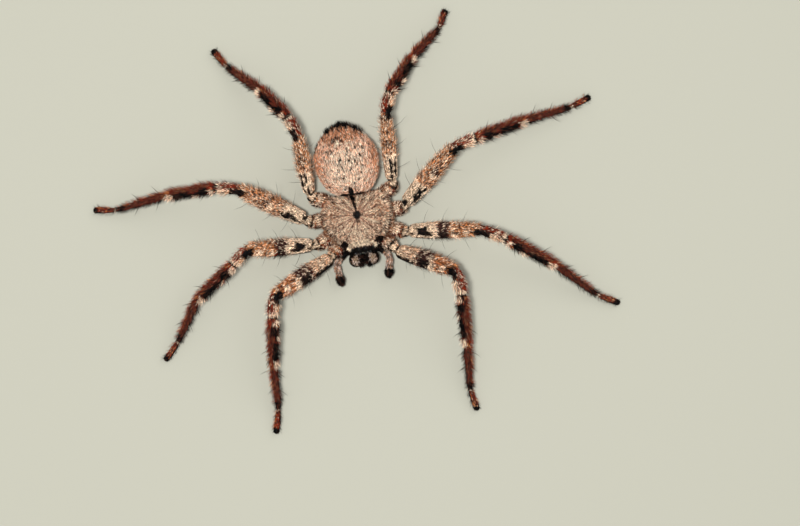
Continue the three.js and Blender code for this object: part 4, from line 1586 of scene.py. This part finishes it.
def coat_mesh(
    name: str, short: list[Strands], long: list[Strands], finish: bpy.types.Material
) -> bpy.types.Object:
    """Builds tufts as closed three-sided spikes, the long ones with a ring at their middle.

    Args:
        name: the object's name.
        short: lots of straight short tufts.
        long: lots of long tufts that bend.
        finish: the material.

    Returns:
        The new object, with its bake map.
    """
    points, faces, marks, tuft, places = [], [], [], [], []
    first = 0
    for shape, lots in ((SHORT_TUFT, short), (LONG_TUFT, long)):
        strands = Strands.joined(lots)
        count, size = len(strands.root), len(shape.ahead)
        start = first + size * np.arange(count)[:, None, None]
        points.append(tuft_points(strands, shape).reshape(-1, 3))
        faces += [shape.quads + start, shape.triangles + start]
        marks.append(np.repeat(strands.marks, size, 0))
        tuft.append(np.column_stack([np.repeat(strands.tone, size, 0), np.tile(shape.ahead, count)]))
        places.append((strands.place[:, None] + shape.chart).reshape(-1, 2))
        first += size * count
    extra = {"tuft": np.concatenate(tuft)}
    made = make_mesh(name, np.concatenate(points), faces, np.concatenate(marks), extra, finish)
    corners = np.concatenate([part.ravel() for part in faces])
    layer = made.data.uv_layers.new(name="OFBake")
    layer.data.foreach_set("uv", np.concatenate(places)[corners].astype(np.float32).ravel())
    return made


# Finishes


def add_node(
    tree: bpy.types.NodeTree, kind: str, values: dict | None = None, **settings: object
) -> bpy.types.Node:
    """Adds a node with its settings, and sets or links its inputs.

    Args:
        tree: the material's nodes.
        kind: Blender's name for the node.
        values: for each input's name or number, a value or the socket that feeds it.
        settings: the node's own settings.

    Returns:
        The new node.
    """
    made = tree.nodes.new(kind)
    for key, value in settings.items():
        setattr(made, key, value)
    for key, value in (values or {}).items():
        if isinstance(value, bpy.types.NodeSocket):
            tree.links.new(value, made.inputs[key])
        else:
            made.inputs[key].default_value = value
    return made


def new_material(name: str) -> tuple[bpy.types.Material, bpy.types.NodeTree]:
    """Starts a material.

    Args:
        name: its name.

    Returns:
        The material, and its tree with nothing but an output.
    """
    material = bpy.data.materials.new(name)
    material.use_nodes = True
    material.node_tree.nodes.clear()
    material.node_tree.nodes.new("ShaderNodeOutputMaterial")
    return material, material.node_tree


def shade(tree: bpy.types.NodeTree, colour: object, roughness: float, **others: object) -> None:
    """Ends a tree with a principled shader.

    Args:
        tree: the material's nodes.
        colour: the base colour or its socket.
        roughness: roughness of the surface.
        others: further inputs, with a low line for each space in their names.
    """
    values = {key.replace("_", " "): value for key, value in others.items()}
    values = {"Base Color": colour, "Roughness": roughness, **values}
    shader = add_node(tree, "ShaderNodeBsdfPrincipled", values)
    tree.links.new(shader.outputs[0], tree.nodes["Material Output"].inputs[0])


def attribute(tree: bpy.types.NodeTree, name: str) -> list[bpy.types.NodeSocket]:
    """The three numbers of a mesh attribute."""
    source = add_node(tree, "ShaderNodeAttribute", attribute_name=name)
    return list(add_node(tree, "ShaderNodeSeparateXYZ", {0: source.outputs["Vector"]}).outputs)


def blend(tree: bpy.types.NodeTree, part: object, low: object, high: object) -> bpy.types.NodeSocket:
    """A colour between two others, by a part."""
    return add_node(tree, "ShaderNodeMix", {0: part, 6: low, 7: high}, data_type="RGBA").outputs[2]


def remap(tree: bpy.types.NodeTree, value: object, *ends: float) -> bpy.types.NodeSocket:
    """A value carried from the range of the first two ends to that of the last two."""
    return add_node(tree, "ShaderNodeMapRange", {0: value, **dict(enumerate(ends, 1))}).outputs[0]


def noise(
    tree: bpy.types.NodeTree, places: bpy.types.NodeSocket, scale: float, detail: float
) -> bpy.types.NodeSocket:
    """Cloudy noise at the places that a socket gives."""
    values = {"Vector": places, "Scale": scale, "Detail": detail}
    return add_node(tree, "ShaderNodeTexNoise", values).outputs[0]


def mottle(tree: bpy.types.NodeTree, size: float, detail: float) -> bpy.types.NodeSocket:
    """Noise in the object's own space, with clouds a size in millimetres apart."""
    places = add_node(tree, "ShaderNodeTexCoord").outputs["Object"]
    return noise(tree, places, 1 / (size * MM), detail)


def brighten(
    tree: bpy.types.NodeTree, colour: object, first: object, second: object
) -> bpy.types.NodeSocket:
    """A colour whose brightness is multiplied by two factors."""
    value = add_node(tree, "ShaderNodeMath", {0: first, 1: second}, operation="MULTIPLY").outputs[0]
    return add_node(tree, "ShaderNodeHueSaturation", {"Value": value, "Color": colour}).outputs[0]


@dataclass(frozen=True)
class Markings:
    """Colours of the ground and of the tones laid over it, in the order of laying."""

    ground: str = "DBA67E"
    orange: str = "CC8450"
    rust: str = "8A301A"
    shade: str = "5E2C20"
    dusk: str = "38201C"
    cream: str = "FFE4C6"
    black: str = "050404"

    def wire(self, tree: bpy.types.NodeTree, base: object) -> bpy.types.NodeSocket:
        """Lays the tones over a base colour, each by its strength in the mesh's attributes.

        Args:
            tree: the material's nodes.
            base: the ground's colour or the socket that gives it.

        Returns:
            The socket that gives the marked colour.
        """
        strengths = [*attribute(tree, "marks_a"), *attribute(tree, "marks_b")]
        for tone in (ORANGE, RUST, SHADE, DUSK, CREAM, BLACK):
            base = blend(tree, strengths[tone], base, linear(getattr(self, tone.name.lower())))
        return base


@dataclass(frozen=True)
class HairFinish:
    """Bristles and scale-like hairs of a spider's coat, dry and faintly glossy.

    Single hairs are paler or darker than the ground, and every hair is darker at its root as
    painted shade among the crowded hairs, so the coat looks grained like short fur.
    """

    name: str
    markings: Markings
    pale_part: float = 0.24
    dark_part: float = 0.2
    pale: str = "F3DCC0"
    dark: str = "4A3026"
    light: tuple[float, float] = (0.62, 1.55)
    # painted shade: brightness at a tuft's root, rising to full by the middle of the tuft
    root: float = 0.62
    roughness: float = 0.62
    gloss: float = 0.07

    def material(self) -> bpy.types.Material:
        """Builds the material.

        Returns:
            The new material.
        """
        material, tree = new_material(self.name)
        tone, light, along = attribute(tree, "tuft")
        is_pale = remap(tree, tone, 1 - self.pale_part, 1.05 - self.pale_part, 0.0, 0.85)
        is_dark = remap(tree, tone, self.dark_part, self.dark_part - 0.05, 0.0, 0.8)
        paler = blend(tree, is_pale, linear(self.markings.ground), linear(self.pale))
        marked = self.markings.wire(tree, paler)
        darker = blend(tree, is_dark, marked, linear(self.dark))
        light = remap(tree, light, 0.0, 1.0, *self.light)
        # painted shade among the hairs: darker toward each tuft's root
        root = remap(tree, along, 0.0, 0.45, self.root, 1.0)
        colour = brighten(tree, darker, light, root)
        shade(tree, colour, self.roughness, Specular_IOR_Level=self.gloss)
        return material


@dataclass(frozen=True)
class SkinFinish:
    """Cuticle under the coat: leathery, dull, with the coat's flattest hairs as fine streaks.

    The streaks follow the lie of the coat, so that short hair too fine for tufts still shows
    between them, in colour and in relief.
    """

    name: str
    markings: Markings
    streak_length: float = 0.5
    streak_width: float = 0.07
    roughness: float = 0.7
    bump: float = 0.5
    relief: float = 0.06
    patch_size: float = 0.35
    gloss: float = 0.2

    def material(self) -> bpy.types.Material:
        """Builds the material.

        Returns:
            The new material.
        """
        material, tree = new_material(self.name)
        lie = add_node(tree, "ShaderNodeAttribute", attribute_name="lie").outputs["Vector"]
        scale = (1 / self.streak_length, 1 / self.streak_width, 1.0)
        streak = noise(tree, add_node(tree, "ShaderNodeMapping", {0: lie, 3: scale}).outputs[0], 1.0, 3.0)
        cloud = mottle(tree, self.patch_size, 3.0)
        marked = self.markings.wire(tree, linear(self.markings.ground))
        grain = remap(tree, streak, 0.35, 0.65, 0.45, 1.1)
        patchy = remap(tree, cloud, 0.35, 0.65, 0.75, 1.1)
        colour = brighten(tree, marked, grain, patchy)
        values = {"Height": streak, "Strength": self.bump, "Distance": self.relief * MM}
        bumps = add_node(tree, "ShaderNodeBump", values).outputs[0]
        shade(tree, colour, self.roughness, Specular_IOR_Level=self.gloss, Normal=bumps)
        return material


@dataclass(frozen=True)
class HornFinish:
    """Bare hard cuticle of fangs and eyes: polished and nearly black."""

    name: str
    colour: str
    edge: str
    roughness: float
    coat: float
    gloss: float
    grain: float

    def material(self) -> bpy.types.Material:
        """Builds the material: a dark ground with a faint mottle, under a clear gloss.

        Returns:
            The new material.
        """
        material, tree = new_material(self.name)
        colour = blend(tree, mottle(tree, self.grain, 2.0), linear(self.colour), linear(self.edge))
        clear = {"Coat_Weight": self.coat, "Coat_Roughness": 0.03}
        shade(tree, colour, self.roughness, Specular_IOR_Level=self.gloss, **clear)
        return material


# Stage


@dataclass(frozen=True)
class Studio:
    """Plain pale floor, soft lights and a camera that looks straight down as the photo does."""

    camera_height: float = 0.65
    aim: tuple[float, float] = (0.00721, -0.007753)
    roll: float = -9.0
    sensor: float = 36.0
    frame_width: float = 0.144
    floor_colour: str = "B6B5A6"
    floor_reach: float = 3.0
    sky_strength: float = 0.42

    def camera(self) -> None:
        """Puts the camera over the middle of the photo's frame, which is frame_width wide."""
        data = bpy.data.cameras.new("camera")
        data.sensor_width = self.sensor
        data.lens = self.sensor * self.camera_height / self.frame_width
        data.clip_start = 0.01
        data.clip_end = 20.0
        made = place_in_scene("camera", data)
        made.location = (*self.aim, self.camera_height)
        made.rotation_euler = (0.0, 0.0, math.radians(self.roll))
        bpy.context.scene.camera = made

    def floor(self) -> None:
        """A large level square at height nought."""
        reach = self.floor_reach
        corners = [(-reach, -reach, 0), (reach, -reach, 0), (reach, reach, 0), (-reach, reach, 0)]
        mesh = bpy.data.meshes.new("floor")
        mesh.from_pydata(corners, [], [(0, 1, 2, 3)])
        material, tree = new_material("floor_matt_paint")
        shade(tree, linear(self.floor_colour), 0.9)
        mesh.materials.append(material)
        place_in_scene("floor", mesh)

    def lamp(self, name: str, place: Point, size: float, power: float) -> None:
        """A square soft light aimed at the spider.

        Args:
            name: the light's name.
            place: where it hangs, in metres.
            size: its side.
            power: its power in watts.
        """
        data = bpy.data.lights.new(name, "AREA")
        data.size = size
        data.energy = power
        made = place_in_scene(name, data)
        made.location = place
        made.rotation_euler = (-made.location).to_track_quat("-Z", "Y").to_euler()

    def light(self) -> None:
        """A broad key beside the camera, a weaker fill across from it, and an even sky."""
        self.lamp("key", (-0.065, -0.008, 0.65), 0.06, 3.5)
        self.lamp("fill", (0.35, 0.3, 0.5), 0.5, 0.9)
        world = bpy.data.worlds.new("sky")
        bpy.context.scene.world = world
        world.use_nodes = True
        sky = world.node_tree.nodes["Background"].inputs
        sky[0].default_value = (1.0, 1.0, 1.0, 1.0)
        sky[1].default_value = self.sky_strength
        bpy.context.scene.view_settings.view_transform = "Standard"


# Assembly


def settle(piece: bpy.types.Object, nodes: list[str] | None = None) -> None:
    """Lets a piece ride on the body's root, hides the nodes of the CAD that it stands in for, and logs it.

    Args:
        piece: the object.
        nodes: nodes of the CAD that it replaces, if it does.
    """
    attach(piece, "root")
    if nodes:
        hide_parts(*nodes)
    LOG.info("%s: %d vertices", piece.name, len(piece.data.vertices))


@dataclass
class Spider:
    """The whole animal: skin, plates, eyes and fangs, and the coat over them."""

    face: Face = field(default_factory=Face)
    trunk: Trunk = field(default_factory=Trunk)
    carapace: Carapace = field(default_factory=Carapace)
    abdomen: Abdomen = field(default_factory=Abdomen)
    legs: list[Leg] = field(default_factory=lambda: [Leg(plan) for plan in LEG_PLANS])
    leg_tufts: int = 20500
    leg_wisps: int = 1400
    leg_fringe: int = 1800
    leg_skirt: int = 480

    def __post_init__(self) -> None:
        """Works out the surfaces that carry both a skin and a coat."""
        self.leg_skins = [leg.patch() for leg in self.legs]
        self.back = self.abdomen.patch()
        self.palps = [self.face.palp(side) for side in SIDES]
        self.jaws = [self.face.jaw(side) for side in SIDES]
        self.under_parts = [*self.face.mouth(), *self.trunk.spinnerets()]
        self.flanks = self.trunk.flanks()
        self.shell = self.carapace.patch(self.face.eyes())
        self.sternum = self.trunk.sternum()

    def build_skin(self) -> None:
        """One skin for all flesh, in place of every node of flesh."""
        # darker than the coat: partly the cuticle's own brown, partly painted shade for the gaps between
        # tufts
        dark = Markings(ground="7A5A46", orange="7A4A30", cream="A88C6E", rust="5A2818")
        finish = SkinFinish("cuticle_leathery", dark).material()
        body = [self.back, *self.palps, *self.jaws, *self.under_parts, self.flanks, self.trunk.stalk()]
        lengths = ("coxa", "femur", "patella_tibia", "metatarsus", "tarsus")
        nodes = [f"{length}_{leg.plan.name}" for leg in self.legs for length in lengths]
        nodes += ["abdomen", "spinnerets", "pedicel", "palp_l", "palp_r", "chelicera_l", "chelicera_r"]
        settle(mesh_of_patches("skin", [*self.leg_skins, *body], finish), nodes)

    def build_plates(self) -> None:
        """Carapace and sternum."""
        # darker than the coat: partly the plate's own brown, partly painted shade for the gaps between tufts
        warm = Markings(ground="86634E", cream="B89A7A")
        finish = SkinFinish("shell_plate_moulted", warm, 0.5, 0.06, 0.45, 0.6).material()
        settle(mesh_of_patches("carapace_plate", [self.shell], finish), ["carapace"])
        settle(mesh_of_patches("sternum_plate", [self.sternum], finish), ["sternum"])

    def build_horn(self) -> None:
        """Eight eyes and two fangs."""
        finish = HornFinish("eye_lens_polished", "030303", "080606", 0.12, 0.7, 0.3, 0.2)
        places = [f"{row}_{place}" for row in ("front", "rear") for place in ("middle", "side")]
        names = [f"eye_{place}_{side}" for place in places for side in "lr"]
        settle(mesh_of_patches("eyes", self.face.lenses(), finish.material()), names)
        finish = HornFinish("fang_horn_polished", "100605", "240D09", 0.42, 0.12, 0.25, 0.5)
        settle(mesh_of_patches("fangs", self.face.fangs(), finish.material()), ["fang_l", "fang_r"])

    def build_leg_coats(self) -> None:
        """A coat for each leg: short tufts that lie flat, long fine ones that stand out along
        the shank, a skirt of them between the coxae, and a few erect spines."""
        finish = HairFinish("leg_hair", Markings(), light=(0.5, 2.05)).material()
        flat = Lay()
        wispy = Lay(0.085, 30, 10, 16, 0.45, 0.3, 1.7, 0.2)
        erect = Lay(0.08, 52, 12, 18, 0.45, 0.2, 2.2, 0.1)
        bushy = Lay(0.085, 46, 14, 34, 0.45, 0.3, 2.3, 0.1)
        for number, (leg, skin) in enumerate(zip(self.legs, self.leg_skins)):
            seed = 1000 + 10 * number
            long = [
                grow(skin, self.leg_wisps, wispy, seed + 1, where=leg.density(leg.long_hair)),
                grow(skin, self.leg_fringe, erect, seed + 2, where=leg.density(leg.long_hair, 0.3, 1.0)),
                grow(skin, self.leg_skirt, bushy, seed + 4, where=leg.density(leg.coxa_hair, 0.15, 1.0)),
                leg.spines(skin, seed + 3),
            ]
            short = [grow(skin, self.leg_tufts, flat, seed)]
            settle(coat_mesh(f"coat_leg_{leg.plan.name}", short, long, finish))

    def build_carapace_coat(self) -> None:
        """Short hair on the carapace, a fringe round its rim, a black brow with two pale tassels
        over the jaws, and a white lock at each corner of the head."""
        warm = Markings(ground="D6A788", orange="CC8C62", cream="FBE3C4", shade="7C5240")
        finish = HairFinish("carapace_hair", warm, 0.24, 0.22, light=(0.45, 1.75)).material()
        x, y, z = np.moveaxis(self.shell.points, -1, 0)
        lay = Lay(0.08, 17, 8, 12, 0.35, 0.3, sharing=0.55, cell=(0.24, 0.2))
        short = grow(self.shell, 33000, lay, 2000)
        rim = ramp(np.abs(z - 5.3), 0.62, -0.3) * (y > -5.5)
        fringe = grow(self.shell, 2600, Lay(0.08, 22, 12, 22, 0.4, 0.3, 2.7), 2001, where=rim)
        hanging = replace(self.shell, flow=grid(0 * x, -0.3, -1.0))
        front = ramp(z, 5.5, -0.3) * (y < -6.0)
        brow = grow(hanging, 900, Lay(0.09, 44, 14, 26, 0.4, 0.4, 2.2, 0.1), 2002, where=front)
        brow = brow.dyed(black=1.0)
        tassel = np.min(np.abs(brow.root[:, :1] - np.array([-1.12, 0.85])), axis=1) < 0.26
        brow.marks[tassel] = plain_marks(cream=1.0)
        away = [np.hypot(x - spot[0], y - spot[1]) for spot in self.carapace.white_spots]
        corner = ramp(np.min(away, axis=0), 0.34, -0.1) * (z > 5.5)
        long_haired = replace(self.shell, hair=np.full(x.shape, 0.3))
        white = grow(long_haired, 150, Lay(0.09, 42, 12, 20, 0.4, 0.3, 1.8, 0.2), 2003, where=corner)
        long = [fringe, brow, white.dyed(cream=1.0)]
        settle(coat_mesh("coat_carapace", [short], long, finish))

    def build_abdomen_coat(self) -> None:
        """Velvet on the abdomen, fuzz round its edge and black tufts at its tail."""
        pale = Markings(ground="FCCBAC", orange="E6A47C", cream="FFEED6", shade="A06A54")
        finish = HairFinish("abdomen_hair", pale, 0.28, 0.12, "FFEAD2", light=(0.6, 1.85)).material()
        x, y, z = np.moveaxis(self.back.points, -1, 0)
        short = grow(self.back, 40000, Lay(0.08, 17, 8, 11, 0.5, 0.4), 2100)
        edge = ramp(np.abs(z - 4.6), 1.6, -0.8)
        fuzz = grow(self.back, 1500, Lay(0.075, 38, 12, 16, 0.5, 0.3, 1.5, 0.2), 2101, where=edge)
        end = edge * ramp(y, 14.3, 0.8) * speckle(x, y, 1.0, 0.42, 95)
        tail = grow(self.back, 600, Lay(0.12, 54, 12, 22, 0.7, 1.3, 2.1, 0.1), 2102, where=end)
        settle(coat_mesh("coat_abdomen", [short], [fuzz, tail.dyed(black=1.0)], finish))

    def build_face_coat(self) -> None:
        """Coat of palps and chelicerae, with the palps' brushes and the beard between the jaws."""
        finish = HairFinish("face_hair", Markings(cream="F2DDD0"), 0.2, 0.22, light=(0.55, 1.7)).material()
        brush = Lay(0.08, 32, 14, 24, 0.5, 0.5, 1.6, 0.1)
        beard = Lay(0.09, 48, 16, 30, 0.4, 0.3, 2.2, 0.1)
        short, long = [], []
        for k, patch in enumerate([*self.palps, *self.jaws]):
            window = (0.25 * k, 0.0, 0.25, 1.0)
            x, y, z = np.moveaxis(patch.points, -1, 0)
            short.append(grow(patch, 4400, Lay(0.07, 20, 8, 14, 0.4, 0.4), 2200 + k, window))
            if k < len(self.palps):
                long.append(grow(patch, 900, brush, 2210 + k, window, ramp(y, -10.4, -0.8)))
            else:
                inner = ramp(np.abs(x), 1.1, -0.3) * ramp(z, 2.6, 0.6) * (y < -7.2)
                long.append(grow(patch, 420, beard, 2210 + k, window, inner).dyed(black=1.0))
        settle(coat_mesh("coat_face", short, long, finish))

    def build_underside_coat(self) -> None:
        """Plain hair on sternum, flanks, mouth and spinnerets, and long hair between the limbs."""
        finish = HairFinish("underside_hair", Markings(), 0.2, 0.25).material()
        parts = [self.sternum, self.flanks, *self.under_parts]
        counts = [4200, 6500] + [700] * len(self.under_parts)
        share = 1 / len(parts)
        windows = [(share * k, 0.0, share, 1.0) for k in range(len(parts))]
        lay = Lay(0.065, 20, 9, 14, 0.4, 0.4)
        short = [grow(parts[k], counts[k], lay, 2300 + k, windows[k]) for k in range(len(parts))]
        gaps = (np.abs(self.flanks.points[..., 0]) > 4.0) * (self.flanks.hair > 0.3)
        long = grow(self.flanks, 1700, Lay(0.085, 16, 14, 30, 0.45, 0.3, 2.7, 0.2), 2350, windows[1], gaps)
        settle(coat_mesh("coat_underside", short, [long], finish))


def main() -> None:
    """Builds the stage and the spider, piece by piece."""
    logging.basicConfig(level=logging.INFO, format="%(name)s %(message)s")
    studio = Studio()
    studio.camera()
    studio.floor()
    studio.light()
    spider = Spider()
    spider.build_skin()
    spider.build_plates()
    spider.build_horn()
    spider.build_leg_coats()
    spider.build_carapace_coat()
    spider.build_abdomen_coat()
    spider.build_face_coat()
    spider.build_underside_coat()


if __name__ == "__main__":
    main()
